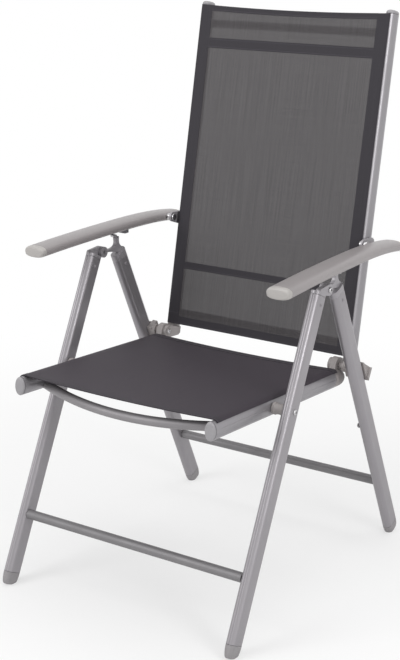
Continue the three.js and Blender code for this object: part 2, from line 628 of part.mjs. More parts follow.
addPair(saddles, 'hinge_bolt', bolt(
  HINGE_BOLT_RADIUS, HINGE_HEAD_RADIUS, HINGE_HEAD_HEIGHT, cheekOuter - SADDLE_WEB - RUN_GAP,
  BLOCK_INNER_X - SEAT_GAP, 0, 0), steel);

// Back frame: rails, caps, cross tubes, hinge blocks, brackets, fabric
const back = leaningGroup('back', HINGE_Y, HINGE_Z, BACK_LEAN);
const backSection = (grow, low, high) => pushed(
  oval(BACK_RAIL_WIDTH + 2 * grow, BACK_RAIL_DEPTH + 2 * grow), low, high)
  .translate(BACK_RAIL_X, BACK_RAIL_SETBACK, 0);
addPair(back, 'back_rail', tube(
  oval, BACK_RAIL_WIDTH, BACK_RAIL_DEPTH, BACK_RAIL_WALL, BACK_RAIL_BOTTOM, BACK_RAIL_TOP)
  .translate(BACK_RAIL_X, BACK_RAIL_SETBACK, 0), silver);
const backPlugGrow = -BACK_RAIL_WALL - PLUG_GAP;
const backCap = join(
  dome(oval, BACK_RAIL_WIDTH, BACK_RAIL_DEPTH, BACK_CAP_DOME, BACK_CAP_TIP_SHARE)
    .translate(BACK_RAIL_X, BACK_RAIL_SETBACK, BACK_RAIL_TOP + SEAT_GAP),
  backSection(backPlugGrow, BACK_RAIL_TOP - PLUG_LENGTH / 2, BACK_RAIL_TOP + CUT_OVER),
);
addPair(back, 'back_rail_cap', toGeometry(backCap), greyPlastic);

const backEnvelope = backSection(SEAT_GAP, BACK_RAIL_BOTTOM, BACK_RAIL_TOP);
const backTube = (z) => toGeometry(cut(
  toSolid(crossTube(BACK_TUBE_DIAMETER, BACK_TUBE_WALL, BACK_RAIL_X, BACK_RAIL_SETBACK, z)),
  backEnvelope, mirrored(backEnvelope)));
addMesh(back, 'back_top_tube', backTube(BACK_RAIL_TOP - BACK_TOP_TUBE_INSET), silver());
addMesh(back, 'back_lower_tube', backTube(BACK_RAIL_BOTTOM + BACK_LOWER_TUBE_INSET), silver());

const backRailOuter = BACK_RAIL_X + BACK_RAIL_WIDTH / 2;
const blockTop = BACK_RAIL_BOTTOM - SEAT_GAP;
const blockOuter = EAR_INNER_X - RUN_GAP;
const leverEnd = BACK_RAIL_SETBACK - BLOCK_LEVER_SHORT;
const hingeBlock = cut(
  join(
    plate(belt(0, 0, BLOCK_RADIUS, leverEnd, 0, BLOCK_LEVER_RADIUS), BLOCK_INNER_X, blockOuter),
    plate(rectangle(leverEnd - BLOCK_LEVER_RADIUS / 2, BLOCK_BOTTOM,
      leverEnd + BLOCK_LEVER_RADIUS, BLOCK_LEVER_RADIUS), BLOCK_INNER_X, BACK_RAIL_X),
    backSection(0, BLOCK_BOTTOM, blockTop),
    backSection(backPlugGrow, blockTop - CUT_OVER, BACK_RAIL_BOTTOM + PLUG_LENGTH),
  ),
  roundBar(HINGE_BOLT_RADIUS + RUN_GAP, BLOCK_INNER_X - CUT_OVER, EAR_INNER_X + CUT_OVER),
);
addPair(back, 'hinge_block', toGeometry(hingeBlock), greyPlastic);

const backSurface = (x, share) => BACK_RAIL_SETBACK
  - overRail(x, BACK_RAIL_X, BACK_RAIL_WIDTH, BACK_RAIL_DEPTH)
  + sag(BACK_FABRIC_SAG, x, BACK_RAIL_X, share);
const backDip = (x, share) => -BACK_FABRIC_DIP * share ** 2 * (1 - (x / BACK_FABRIC_HALF_WIDTH) ** 2);
addMesh(back, 'back_fabric', clothSlab(
  BACK_RAIL_X, BACK_FABRIC_HALF_WIDTH, BACK_RAIL_BOTTOM - BACK_FABRIC_OVER,
  BACK_RAIL_TOP - BACK_FABRIC_INSET, backSurface, backDip), cloth());

const bracketInner = backRailOuter + SEAT_GAP;
const bracketOuter = bracketInner + BRACKET_THICKNESS;
const bracket = cut(
  toSolid(plate(belt(BACK_ARM_PIVOT.y, BACK_ARM_PIVOT.z, BRACKET_RADIUS,
    BACK_RAIL_SETBACK, BACK_ARM_PIVOT.z, BRACKET_ROOT_RADIUS), bracketInner, bracketOuter)),
  roundBar(ARM_BOLT_RADIUS + RUN_GAP, bracketInner - CUT_OVER, bracketOuter + CUT_OVER,
    BACK_ARM_PIVOT.y, BACK_ARM_PIVOT.z),
);
addPair(back, 'arm_bracket', toGeometry(bracket), casting);

// Armrests: a crowned bar with domed ends, parted into bar and caps, channelled below
const arms = leaningGroup('arms', ARM_PIVOT_Y, ARM_PIVOT_Z, 0);
function armHeight(y) {
  const away = y - ARM_CROWN_Y;
  return away < 0
    ? ARM_CROWN_Z - ARM_FRONT_DROP * (away / (ARM_FRONT + ARM_CROWN_Y)) ** 2
    : ARM_CROWN_Z - ARM_REAR_DROP * (away / (ARM_REAR - ARM_CROWN_Y)) ** 3;
}

const armWhole = pushed(superOval(ARM_WIDTH, ARM_THICKNESS, ARM_SECTION_POWER), 0, 1, ARM_STATIONS);
const armPosition = armWhole.attributes.position;
for (let i = 0; i < armPosition.count; i += 1) {
  const y = -ARM_FRONT + (ARM_FRONT + ARM_REAR) * (1 - Math.cos(Math.PI * armPosition.getZ(i))) / 2;
  const fromEnd = Math.min(y + ARM_FRONT, ARM_REAR - y, ARM_CAP_LENGTH) / ARM_CAP_LENGTH;
  const share = ARM_TIP_SHARE + (1 - ARM_TIP_SHARE) * Math.sqrt(1 - (1 - fromEnd) ** 2);
  armPosition.setXYZ(i, -armPosition.getX(i) * share, y, armPosition.getY(i) * share + armHeight(y));
}
const armSolid = toSolid(armWhole);

// The arm's own frame has its middle line at X = 0; it is toed in about its bolt, and set out
const armEdge = -ARM_WIDTH / 2;
const toed = (geometry) => geometry.translate(-armEdge, 0, 0).rotateZ(ARM_TOE)
  .translate(ARM_X + armEdge, 0, 0);
const frontCut = -ARM_FRONT + ARM_CAP_LENGTH;
const rearCut = ARM_REAR - ARM_CAP_LENGTH;
const channelMiddle = -(CHANNEL_FRONT + CHANNEL_REAR) / 2;
const channelLength = CHANNEL_FRONT - CHANNEL_REAR;
const channel = new THREE.BoxGeometry(CHANNEL_WIDTH, channelLength, ARM_THICKNESS);
channel.translate(CHANNEL_X, channelMiddle, CHANNEL_CEILING - ARM_THICKNESS / 2);
const armBar = cut(
  armSolid.trimByPlane([0, 1, 0], frontCut + SEAT_GAP).trimByPlane([0, -1, 0], SEAT_GAP - rearCut),
  channel,
  roundBar(ARM_BOLT_RADIUS + RUN_GAP, armEdge - CUT_OVER, armEdge + ARM_BOLT_DEPTH),
);
addPair(arms, 'armrest', toed(toGeometry(armBar)), greyPlastic);
const frontTip = armSolid.trimByPlane([0, -1, 0], -frontCut);
const rearTip = armSolid.trimByPlane([0, 1, 0], rearCut);
addPair(arms, 'armrest_front_cap', toed(toGeometry(frontTip)), greyPlastic);
addPair(arms, 'armrest_rear_cap', toed(toGeometry(rearTip)), greyPlastic);

// Notched rail on the channel's ceiling, one notch for each position of the back, with its rear stop
const railTop = CHANNEL_CEILING - SEAT_GAP;
const railBottom = railTop - NOTCH_RAIL_THICKNESS;
const stripWidth = CHANNEL_WIDTH - 2 * SEAT_GAP;
const strip = new THREE.BoxGeometry(stripWidth, channelLength - 2 * SEAT_GAP, NOTCH_RAIL_THICKNESS);
strip.translate(CHANNEL_X, channelMiddle, railTop - NOTCH_RAIL_THICKNESS / 2);
const stopTab = new THREE.BoxGeometry(stripWidth, STOP_TAB_LENGTH, STOP_TAB_DROP);
stopTab.translate(CHANNEL_X, -CHANNEL_REAR - SEAT_GAP - STOP_TAB_LENGTH / 2, railTop - STOP_TAB_DROP / 2);
const notches = Array.from({ length: NOTCH_COUNT }, (_, i) => roundBar(
  NOTCH_RADIUS, CHANNEL_X - CHANNEL_WIDTH, CHANNEL_X + CHANNEL_WIDTH,
  NOTCH_Y - ARM_PIVOT_Y - i * NOTCH_TRAVEL / (NOTCH_COUNT - 1), railBottom - NOTCH_RADIUS + NOTCH_DEPTH));
addPair(arms, 'notch_rail', toed(toGeometry(cut(join(strip, stopTab), ...notches))), darkPlastic);

const armInner = ARM_X + armEdge;
const armBolt = join(
  roundBar(ARM_BOLT_RADIUS, bracketInner - BRACKET_THICKNESS, armInner + ARM_BOLT_DEPTH - CUT_OVER),
  roundBar(ARM_COLLAR_RADIUS, bracketOuter + RUN_GAP, armInner - RUN_GAP),
  roundBar(ARM_COLLAR_RADIUS, bracketInner - BRACKET_THICKNESS, bracketInner - RUN_GAP),
);
addPair(arms, 'arm_bolt', toGeometry(armBolt), steel);

const chair = new THREE.Group();
chair.name = 'folding_armchair';
chair.add(frontFrame, rearFrame, seat, saddles, back, arms);

// The origin is under the middle of the chair's box
chair.updateMatrixWorld(true);
const box = new THREE.Box3().setFromObject(chair, true);
chair.position.y = -(box.min.y + box.max.y) / 2;
chair.updateMatrixWorld(true);

export default chair;
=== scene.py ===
"""Folding high-back armchair: silver oval tubes, dark stretched mesh, moulded armrests.

The chair is put together here in the order in which it is made: legs, apex joints, seat, back, armrests.
The chair's sizes are in millimetres and its leans in degrees, and every piece is placed in the chair's own
frame. The floor, the lamps and the camera are placed in metres.
"""

from functools import partial
from math import copysign, cos, exp, hypot, pi, radians, sin, sqrt, tan

import bmesh
import bpy
from mathutils import Matrix, Vector


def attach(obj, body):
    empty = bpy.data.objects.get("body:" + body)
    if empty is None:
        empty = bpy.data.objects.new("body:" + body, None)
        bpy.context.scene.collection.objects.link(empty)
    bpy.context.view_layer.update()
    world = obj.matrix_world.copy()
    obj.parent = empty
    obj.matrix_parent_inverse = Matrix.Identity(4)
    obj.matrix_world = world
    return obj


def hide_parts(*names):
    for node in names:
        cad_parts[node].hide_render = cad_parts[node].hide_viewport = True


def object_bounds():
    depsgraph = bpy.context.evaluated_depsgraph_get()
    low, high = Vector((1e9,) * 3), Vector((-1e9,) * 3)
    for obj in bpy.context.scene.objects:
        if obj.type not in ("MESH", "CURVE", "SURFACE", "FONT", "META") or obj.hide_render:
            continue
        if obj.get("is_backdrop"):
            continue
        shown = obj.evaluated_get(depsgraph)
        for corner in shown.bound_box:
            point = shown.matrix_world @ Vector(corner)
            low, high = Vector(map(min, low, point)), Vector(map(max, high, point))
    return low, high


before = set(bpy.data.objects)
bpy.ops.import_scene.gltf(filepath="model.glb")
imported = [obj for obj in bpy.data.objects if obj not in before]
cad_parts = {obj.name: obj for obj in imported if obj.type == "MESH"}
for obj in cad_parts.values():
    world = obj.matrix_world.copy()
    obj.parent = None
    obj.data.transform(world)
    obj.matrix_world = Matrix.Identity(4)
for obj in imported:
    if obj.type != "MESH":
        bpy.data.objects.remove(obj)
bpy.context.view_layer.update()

# Front legs
# Two drawn aluminium tubes of flat oval section, with a groove down the middle of both narrow edges.
# Powder coated satin silver. Plastic feet close their lower ends, and castings plug the upper ones.
MM = 0.001
HANDS = ((1, "right"), (-1, "left"))  # as seen from the front
ORIGIN_BEHIND_FEET = 7.2303
FRONT_LEG_FOOT_Y = -314
FRONT_LEG_LEAN = 25.8
FRONT_LEG_X = 256
FRONT_LEG_BOTTOM, FRONT_LEG_TOP = 24.5, 660
LEG_WIDTH, LEG_DEPTH = 20, 38
LEG_GROOVE, GROOVE_LIP = 0.9, 0.35
GROOVE_SPREAD, LIP_AWAY, LIP_SPREAD = 0.11, 0.30, 0.10  # in radians round the narrow edge
END_CHAMFER = 0.5
CHAMFER_HALF_WIDTH, CHAMFER_HALF_DEPTH = 10, 17
EDGE_ANGLE = 35


def leaning(y, z, lean=0.0):
    """Place of a leaning piece: its Z runs up along it and its Y to the chair's rear."""
    return (Matrix.Scale(MM, 4) @ Matrix.Translation((0, y - ORIGIN_BEHIND_FEET, z))
            @ Matrix.Rotation(-radians(lean), 4, "X"))


def add_object(name, data):
    made = bpy.data.objects.new(name, data)
    bpy.context.scene.collection.objects.link(made)
    return made


def shaded(mesh, sharp_angle=EDGE_ANGLE):
    """Smooth shading that stays crisp at real edges."""
    mesh.shade_smooth()
    mesh.set_sharp_from_angle(angle=radians(sharp_angle))
    return mesh


def made_from(shape, name, sharp_angle=EDGE_ANGLE):
    """A new object with the finished shape as its mesh."""
    mesh = bpy.data.meshes.new(name)
    shape.to_mesh(mesh)
    shape.free()
    return add_object(name, shaded(mesh, sharp_angle))


def lofted(name, rings, place, side=1):
    """A closed skin through rings of points; its UV layer holds metres round and along the piece."""
    shape = bmesh.new()
    along_uv = shape.loops.layers.uv.new("along")
    rows = [[shape.verts.new(place @ Vector((side * x, y, z))) for x, y, z in ring] for ring in rings]
    count = len(rows[0])
    widest = max(rings, key=lambda ring: max(Vector(point).length for point in ring))
    round_places = [0.0]
    for j in range(count):
        step = (Vector(widest[(j + 1) % count]) - Vector(widest[j])).length
        round_places.append(round_places[-1] + step * MM)
    travelled = 0.0
    for near, far in zip(rows, rows[1:]):
        near_middle, far_middle = (sum((v.co for v in row), Vector()) / count for row in (near, far))
        step = (far_middle - near_middle).length
        for j in range(count):
            k = (j + 1) % count
            face = shape.faces.new((near[j], near[k], far[k], far[j]))
            corners = ((round_places[j], travelled), (round_places[j + 1], travelled),
                       (round_places[j + 1], travelled + step), (round_places[j], travelled + step))
            for loop, corner in zip(face.loops, corners):
                loop[along_uv].uv = corner
        travelled += step
    shape.faces.new(rows[0])
    shape.faces.new(rows[-1])
    bmesh.ops.recalc_face_normals(shape, faces=shape.faces)
    return made_from(shape, name)


def flat_oval(width, depth, groove=0.0, steps=36):
    """Outline of a flat-sided oval tube; a groove with low lips runs down the middle of both narrow edges."""
    radius, straight = width / 2, depth / 2 - width / 2
    points = []
    for end in (1, -1):
        for k in range(steps + 1):
            angle = pi * k / steps
            off_middle = angle - pi / 2
            dip = groove * exp(-(off_middle / GROOVE_SPREAD) ** 2)
            lip = GROOVE_LIP * groove * exp(-((abs(off_middle) - LIP_AWAY) / LIP_SPREAD) ** 2)
            reach = radius - dip + lip
            points.append((end * reach * cos(angle), end * (straight + reach * sin(angle))))
    return points


def straight_tube(name, outline, x, y, low, high, place, side):
    """A straight tube along its own Z, with its ends broken by a small chamfer."""
    rings = []
    chamfer = END_CHAMFER
    for z, inset in ((low, chamfer), (low + chamfer, 0), (high - chamfer, 0), (high, chamfer)):
        across, deep = 1 - inset / CHAMFER_HALF_WIDTH, 1 - inset / CHAMFER_HALF_DEPTH
        rings.append([(x + px * across, y + py * deep, z) for px, py in outline])
    return lofted(name, rings, place, side)


def put_on(piece, material, body, slot, *nodes):
    """The piece gets its finish, rides on its body and stands for its CAD nodes; the slot is not used."""
    piece.data.materials.append(material)
    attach(piece, body)
    if nodes:
        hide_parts(*nodes)
    return piece


def new_material(name):
    material = bpy.data.materials.new(name)
    material.use_nodes = True
    return material, material.node_tree, material.node_tree.nodes["Principled BSDF"]


def new_effect(name, inputs, outputs):
    """An empty shader node group, with the sockets that go into it and come out of it by name."""
    tree = bpy.data.node_groups.new(name, "ShaderNodeTree")
    for label, value in inputs.items():
        made = tree.interface.new_socket(label, in_out="INPUT", socket_type="NodeSocketFloat")
        made.default_value = value
    for label in outputs:
        tree.interface.new_socket(label, in_out="OUTPUT", socket_type="NodeSocketFloat")
    return tree, tree.nodes.new("NodeGroupInput").outputs, tree.nodes.new("NodeGroupOutput").inputs


def feed(tree, sockets, values):
    """Sets sockets by name, to plain values or by links from other sockets."""
    for label, value in values.items():
        if isinstance(value, bpy.types.NodeSocket):
            tree.links.new(value, sockets[label])
        elif value is not None:
            sockets[label].default_value = value


def new_node(tree, kind, inputs, **settings):
    made = tree.nodes.new("ShaderNode" + kind)
    for label, value in settings.items():
        setattr(made, label, value)
    feed(tree, made.inputs, inputs)
    return made


def place_effect(tree, effect, **amounts):
    """The effect in a material, with its own amounts; gives the effect's outputs."""
    return new_node(tree, "Group", amounts, node_tree=effect).outputs


def calculate(tree, operation, first, second=None):
    """A Math node; each operand is a number or a socket."""
    return new_node(tree, "Math", {0: first, 1: second}, operation=operation).outputs[0]


def noise_at(tree, vector, scale, detail=2.0, roughness=0.5):
    return new_node(tree, "TexNoise", {
        "Vector": vector, "Scale": scale, "Detail": detail, "Roughness": roughness}).outputs[0]


def swing(tree, noise, amount):
    """The noise about its own middle, times the amount."""
    return calculate(tree, "MULTIPLY", calculate(tree, "SUBTRACT", noise, 0.5), amount)


def stretched(tree, vector, scales):
    return new_node(tree, "Mapping", {"Vector": vector, "Scale": scales}).outputs[0]


def object_place(tree):
    return new_node(tree, "TexCoord", {}).outputs["Object"]


def uv_place(tree, layer):
    return new_node(tree, "UVMap", {}, uv_map=layer).outputs[0]


def tinted(tree, tone, colour):
    """The finish's own colour, a little lighter or darker by the effect's tone."""
    return new_node(tree, "VectorMath", {0: colour, "Scale": tone}, operation="SCALE").outputs[0]


def bumped(tree, height, strength, distance):
    return new_node(tree, "Bump", {"Height": height, "Strength": strength, "Distance": distance}).outputs[0]


def broken_up(name, effect, colour, metallic, roughness, bump, bump_depth, **amounts):
    """A finish of one colour and gloss, broken up by an effect's tone, dullness and height."""
    material, tree, shader = new_material(name)
    placed = place_effect(tree, effect, **amounts)
    feed(tree, shader.inputs, {
        "Base Color": tinted(tree, placed["Tone"], colour), "Metallic": metallic,
        "Roughness": calculate(tree, "ADD", placed["Dullness"], roughness),
        "Normal": bumped(tree, placed["Height"], bump, bump_depth)})
    return material


# The coat: metallic flakes, faint lines from drawing the tube, and dull smears where hands and dust have been
SMEAR_TONE = -0.6
LINE_HEIGHT = 1.4

powder_coat, coat_in, coat_out = new_effect(
    "powder coat", {"Flake": 0.05, "Lines": 0.05, "Smears": 0.1}, ("Tone", "Dullness", "Height"))
coat_math = partial(calculate, powder_coat)
coat_place = object_place(powder_coat)
drawn_place = stretched(powder_coat, uv_place(powder_coat, "along"), (900, 2.5, 1))
smear_place = stretched(powder_coat, coat_place, (1, 1, 0.35))
flake_noise = noise_at(powder_coat, coat_place, scale=1900, detail=1.0)
line_noise = noise_at(powder_coat, drawn_place, scale=1.0)
smear_noise = noise_at(powder_coat, smear_place, scale=16, detail=3.0, roughness=0.6)
smear_mask = swing(powder_coat, smear_noise, coat_in["Smears"])
flakes_and_lines = coat_math("ADD", swing(powder_coat, flake_noise, coat_in["Flake"]),
                             swing(powder_coat, line_noise, coat_in["Lines"]))
tone_sum = coat_math("ADD", flakes_and_lines, coat_math("MULTIPLY", smear_mask, SMEAR_TONE))
feed(powder_coat, coat_out, {
    "Tone": coat_math("ADD", tone_sum, 1.0), "Dullness": smear_mask,
    "Height": coat_math("ADD", flake_noise, coat_math("MULTIPLY", line_noise, LINE_HEIGHT))})


def silver_coat(name, colour, metallic, roughness, lines=0.10):
    """Satin silver powder coat; the colour is the coat's own."""
    return broken_up(name, powder_coat, colour, metallic, roughness, bump=0.12, bump_depth=0.1 * MM,
                     Flake=0.10, Lines=lines, Smears=0.30)


leg_silver = silver_coat("silver powder coat on the legs", (0.312, 0.297, 0.314), metallic=0.55,
                         roughness=0.38)

front_leg_place = leaning(FRONT_LEG_FOOT_Y, 0, FRONT_LEG_LEAN)
for side, hand in HANDS:
    leg = straight_tube(f"front_leg_tube_{hand}", flat_oval(LEG_WIDTH, LEG_DEPTH, LEG_GROOVE),
                        FRONT_LEG_X, 0, FRONT_LEG_BOTTOM, FRONT_LEG_TOP, front_leg_place, side)
    put_on(leg, leg_silver, "front_frame", "leg_tube", f"front_leg_{hand}")

# Rear legs
# The same tube, set 5 mm further in so that the legs fold past each other.
# They carry the horned castings at their tops, and a stop stud for the saddles on their inner faces.
REAR_LEG_FOOT_Y = 322
REAR_LEG_LEAN = -24.9
REAR_LEG_X = 251
REAR_LEG_BOTTOM, REAR_LEG_TOP = 24.2, 640
FIT_GAP = 0.3
TURNED_SIDES = 40
STUD_ALONG, STUD_OFFSET = 307, -9
STUD_RADIUS = 5
STUD_PROFILE = ((0, 1.0), (3, 1.0), (4.4, 0.8), (5, 0.4))  # (out from the leg, share of the radius)

rear_leg_place = leaning(REAR_LEG_FOOT_Y, 0, REAR_LEG_LEAN)


def ring_about_x(x, y, z, reach, sides=TURNED_SIDES):
    """A ring about an axis along X; reach gives its radius at each angle."""
    angles = [2 * pi * k / sides for k in range(sides)]
    return [(x, y + reach(angle) * cos(angle), z + reach(angle) * sin(angle)) for angle in angles]


def hexagon(radius):
    """The socket of a screw: its radius at each angle."""
    sixth = pi / 3
    return lambda angle: radius * cos(sixth / 2) / cos(angle % sixth - sixth / 2)


def turned(name, profile, place, side, y=0.0, z=0.0):
    """A turned piece about X from its profile of (x, radius), or (x, radius, True) in a hexagon socket."""
    rings = []
    for x, radius, *in_socket in profile:
        rings.append(ring_about_x(x, y, z, hexagon(radius) if in_socket else lambda angle: radius))
    return lofted(name, rings, place, side)


# Moulded plastic: fine spark-eroded grain, a slow drift of tone from the flow of the plastic, and scuffs
moulded_grain, grain_in, grain_out = new_effect(
    "moulded grain", {"Grain": 900.0, "Drift": 0.08, "Scuffs": 0.1}, ("Tone", "Dullness", "Height"))
grain_place = object_place(moulded_grain)
scuff_place = stretched(moulded_grain, grain_place, (60, 9, 140))
fine_grain = noise_at(moulded_grain, grain_place, scale=grain_in["Grain"])
drift_noise = noise_at(moulded_grain, grain_place, scale=22)
scuff_noise = noise_at(moulded_grain, scuff_place, scale=1.0, detail=4.0, roughness=0.7)
scuff_mask = swing(moulded_grain, scuff_noise, grain_in["Scuffs"])
drift_tone = swing(moulded_grain, drift_noise, grain_in["Drift"])
grain_tone = calculate(moulded_grain, "ADD", drift_tone, scuff_mask)
feed(moulded_grain, grain_out, {
    "Tone": calculate(moulded_grain, "ADD", grain_tone, 1.0), "Height": fine_grain,
    "Dullness": calculate(moulded_grain, "ABSOLUTE", scuff_mask)})


def moulded(name, colour, roughness, grain=900.0, drift=0.10, scuffs=0.12, bump=0.15, metallic=0.0):
    """Grained plastic, or a painted or plated casting, in one colour."""
    return broken_up(name, moulded_grain, colour, metallic, roughness, bump, bump_depth=0.2 * MM,
                     Grain=grain, Drift=drift, Scuffs=scuffs)


grey_foot = moulded("grey plastic of the feet", (0.272, 0.260, 0.268), roughness=0.50, scuffs=0.3)

stud_face = REAR_LEG_X - LEG_WIDTH / 2 - FIT_GAP
stud_profile = [(stud_face - out, STUD_RADIUS * share) for out, share in STUD_PROFILE]
for side, hand in HANDS:
    leg = straight_tube(f"rear_leg_tube_{hand}", flat_oval(LEG_WIDTH, LEG_DEPTH),
                        REAR_LEG_X, 0, REAR_LEG_BOTTOM, REAR_LEG_TOP, rear_leg_place, side)
    put_on(leg, leg_silver, "rear_frame", "leg_tube", f"rear_leg_{hand}")
    stud = turned(f"saddle_stop_{hand}", stud_profile, rear_leg_place, side, STUD_OFFSET, STUD_ALONG)
    put_on(stud, grey_foot, "rear_frame", "foot_plastic", f"leg_stud_{hand}")

# Feet
# Moulded plugs with domed ends, pressed into the tubes and worn flat where they stand on the ground.
# The dome follows the tube's oval and is trimmed by the floor.
FOOT_RISE = 15
FOOT_TIP = 0.35


def domed(outline, tip, height, base, steps=10):
    """Rings from the outline in to the tip share of its half width, over the height."""
    reach = min(max(abs(px) for px, py in outline), max(abs(py) for px, py in outline))
    rings = []
    for k in range(steps + 1):
        rise = sin(pi / 2 * k / steps)
        share = tip + (1 - tip) * sqrt(max(0, 1 - rise ** 2))
        ring = []
        for px, py in outline:
            keep = 1 - reach * (1 - share) / (hypot(px, py) or 1)
            ring.append((px * keep, py * keep, base + height * rise))
        rings.append(ring)
    return rings


def trimmed_by_floor(piece):
    shape = bmesh.new()
    shape.from_mesh(piece.data)
    cut = bmesh.ops.bisect_plane(shape, geom=[*shape.verts, *shape.edges, *shape.faces],
                                 plane_co=(0, 0, 0), plane_no=(0, 0, -1), clear_outer=True)
    bmesh.ops.edgeloop_fill(shape, edges=[e for e in cut["geom_cut"] if isinstance(e, bmesh.types.BMEdge)])
    bmesh.ops.recalc_face_normals(shape, faces=shape.faces)
    shape.to_mesh(piece.data)
    shape.free()
    shaded(piece.data)


for body, leg_x, lean, place in (("front", FRONT_LEG_X, FRONT_LEG_LEAN, front_leg_place),
                                 ("rear", REAR_LEG_X, REAR_LEG_LEAN, rear_leg_place)):
    foot_top = LEG_DEPTH / 2 * tan(radians(abs(lean))) + FOOT_RISE
    dome = domed(flat_oval(LEG_WIDTH, LEG_DEPTH), FOOT_TIP, foot_top, 0)
    rings = [[(leg_x + px, py, foot_top - pz) for px, py, pz in ring] for ring in dome]
    for side, hand in HANDS:
        foot = lofted(f"{body}_foot_plug_{hand}", rings, place, side)
        trimmed_by_floor(foot)
        put_on(foot, grey_foot, f"{body}_frame", "foot_plastic", f"{body}_foot_{hand}")

# Cross tubes of the legs
# Round aluminium tubes between each pair of legs, 13 cm above the ground, that end at the legs' inner
# faces. A fine groove is drawn along the top and the underside.
CROSS_TUBE_RADIUS = 9.5
CROSS_TUBE_ALONG = 140.5
CROSS_TUBE_SIDES, CROSS_TUBE_STEPS = 48, 8
CROSS_TUBE_GROOVE, CROSS_GROOVE_SPREAD = 0.6, 0.16
FRONT_CROSS_TUBE_OFFSET, REAR_CROSS_TUBE_OFFSET = -5.7, 2.2


def cross_tube(name, half, radius, y, z, place, groove=0.0):
    """A round tube along X between the two halves of the frame."""
    def reach(angle):
        return radius - groove * exp(-((angle % pi - pi / 2) / CROSS_GROOVE_SPREAD) ** 2)
    places = [half * (2 * i / CROSS_TUBE_STEPS - 1) for i in range(CROSS_TUBE_STEPS + 1)]
    return lofted(name, [ring_about_x(x, y, z, reach, CROSS_TUBE_SIDES) for x in places], place)


# The legs' coat in a darker copy: painted shade for the dimmer light low down under the seat
shaded_tube_silver = silver_coat("silver powder coat on the cross tubes", (0.20, 0.193, 0.20), metallic=0.25,
                          roughness=0.50, lines=0.16)
for body, leg_x, offset, place in (("front", FRONT_LEG_X, FRONT_CROSS_TUBE_OFFSET, front_leg_place),
                                   ("rear", REAR_LEG_X, REAR_CROSS_TUBE_OFFSET, rear_leg_place)):
    tube = cross_tube(f"{body}_cross_tube", leg_x - LEG_WIDTH / 2 - FIT_GAP, CROSS_TUBE_RADIUS, offset,
                      CROSS_TUBE_ALONG, place, CROSS_TUBE_GROOVE)
    put_on(tube, shaded_tube_silver, f"{body}_frame", "leg_tube", f"{body}_crossbar")

# Apex joints
# Painted die castings plugged into the leg tops: two round lugs that lap at the pivot, and behind them
# the horn that carries the armrest's notch pin. A bolt with a socket head closes the pivot.
APEX_Z = 600
APEX_LUG_INNER_X = 248.2
SCREW_RADIUS, SCREW_HEAD_RADIUS = 3.5, 5.5
APEX_HEAD_HEIGHT = 3
SCREW_DOME = ((0.35, 0.99), (0.75, 0.86), (1, 0.62))  # (share of the head's height, share of its radius)
SCREW_SOCKET = ((1, 0.50), (0.25, 0.46))
SAME_PLACE = 0.01
FLAT_ANGLE, ROUNDED_ANGLE, CAST_EDGE_ANGLE = 1, 38, 40


def softened(name, node, edge=0.7):
    """A finer copy of a cast or moulded CAD node: flat faces joined up and every edge rounded."""
    shape = bmesh.new()
    shape.from_mesh(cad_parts[node].data)
    bmesh.ops.remove_doubles(shape, verts=shape.verts, dist=SAME_PLACE * MM)
    bmesh.ops.dissolve_limit(shape, angle_limit=radians(FLAT_ANGLE), verts=shape.verts, edges=shape.edges)
    edges = [e for e in shape.edges
             if len(e.link_faces) == 2 and e.calc_face_angle(0) > radians(ROUNDED_ANGLE)]
    bmesh.ops.bevel(shape, geom=edges, offset=edge * MM, segments=3, profile=0.5, affect="EDGES",
                    clamp_overlap=True)
    return made_from(shape, name, CAST_EDGE_ANGLE)


def socket_screw(name, tip, face, radius, head_radius, head_height, place, side):
    """A screw along X: a shank, a domed head that stands on its face, and a hexagon socket."""
    out = 1 if face > tip else -1
    profile = [(tip, radius), (face, radius), (face, head_radius)]
    profile += [(face + out * head_height * rise, head_radius * share) for rise, share in SCREW_DOME]
    profile += [(face + out * head_height * rise, head_radius * share, True) for rise, share in SCREW_SOCKET]
    return turned(name, profile, place, side)


cast_silver = moulded("painted castings of the apex", (0.335, 0.320, 0.338), roughness=0.42, grain=1400,
                      bump=0.12, metallic=0.40)
zinc = moulded("zinc plated screws", (0.52, 0.51, 0.52), roughness=0.30, grain=2600, drift=0.2, scuffs=0.3,
               bump=0.1, metallic=1.0)

apex_place = leaning(0, APEX_Z)
for side, hand in HANDS:
    for body in ("front", "rear"):
        lug = softened(f"{body}_apex_casting_{hand}", f"{body}_joint_{hand}")
        put_on(lug, cast_silver, f"{body}_frame", "joint_casting", f"{body}_joint_{hand}")
    bolt = socket_screw(f"apex_screw_{hand}", APEX_LUG_INNER_X, FRONT_LEG_X + LEG_WIDTH / 2 + FIT_GAP,
                        SCREW_RADIUS, SCREW_HEAD_RADIUS, APEX_HEAD_HEIGHT, apex_place, side)
    put_on(bolt, zinc, "front_frame", "fastener", f"apex_bolt_{hand}")
    pin = softened(f"notch_pin_steel_{hand}", f"notch_pin_{hand}", edge=0.5)
    put_on(pin, zinc, "rear_frame", "fastener", f"notch_pin_{hand}")

# Rivets of the castings
# A hollow blind rivet through each face of a leg's top end holds the plugged casting in the tube.
# Its painted collar stands a millimetre proud, and the drawn-out mandrel leaves a dark hole.
RIVET_RADIUS = 3.4
RIVET_BELOW_TOP, RIVET_OFFSET = 17, 1.5
RIVET_GAP = 0.05
RIVET_COLLAR = ((0, 1.0), (0.7, 0.94), (1.1, 0.70), (1.1, 0.40), (0.2, 0.36))  # as the stud's profile

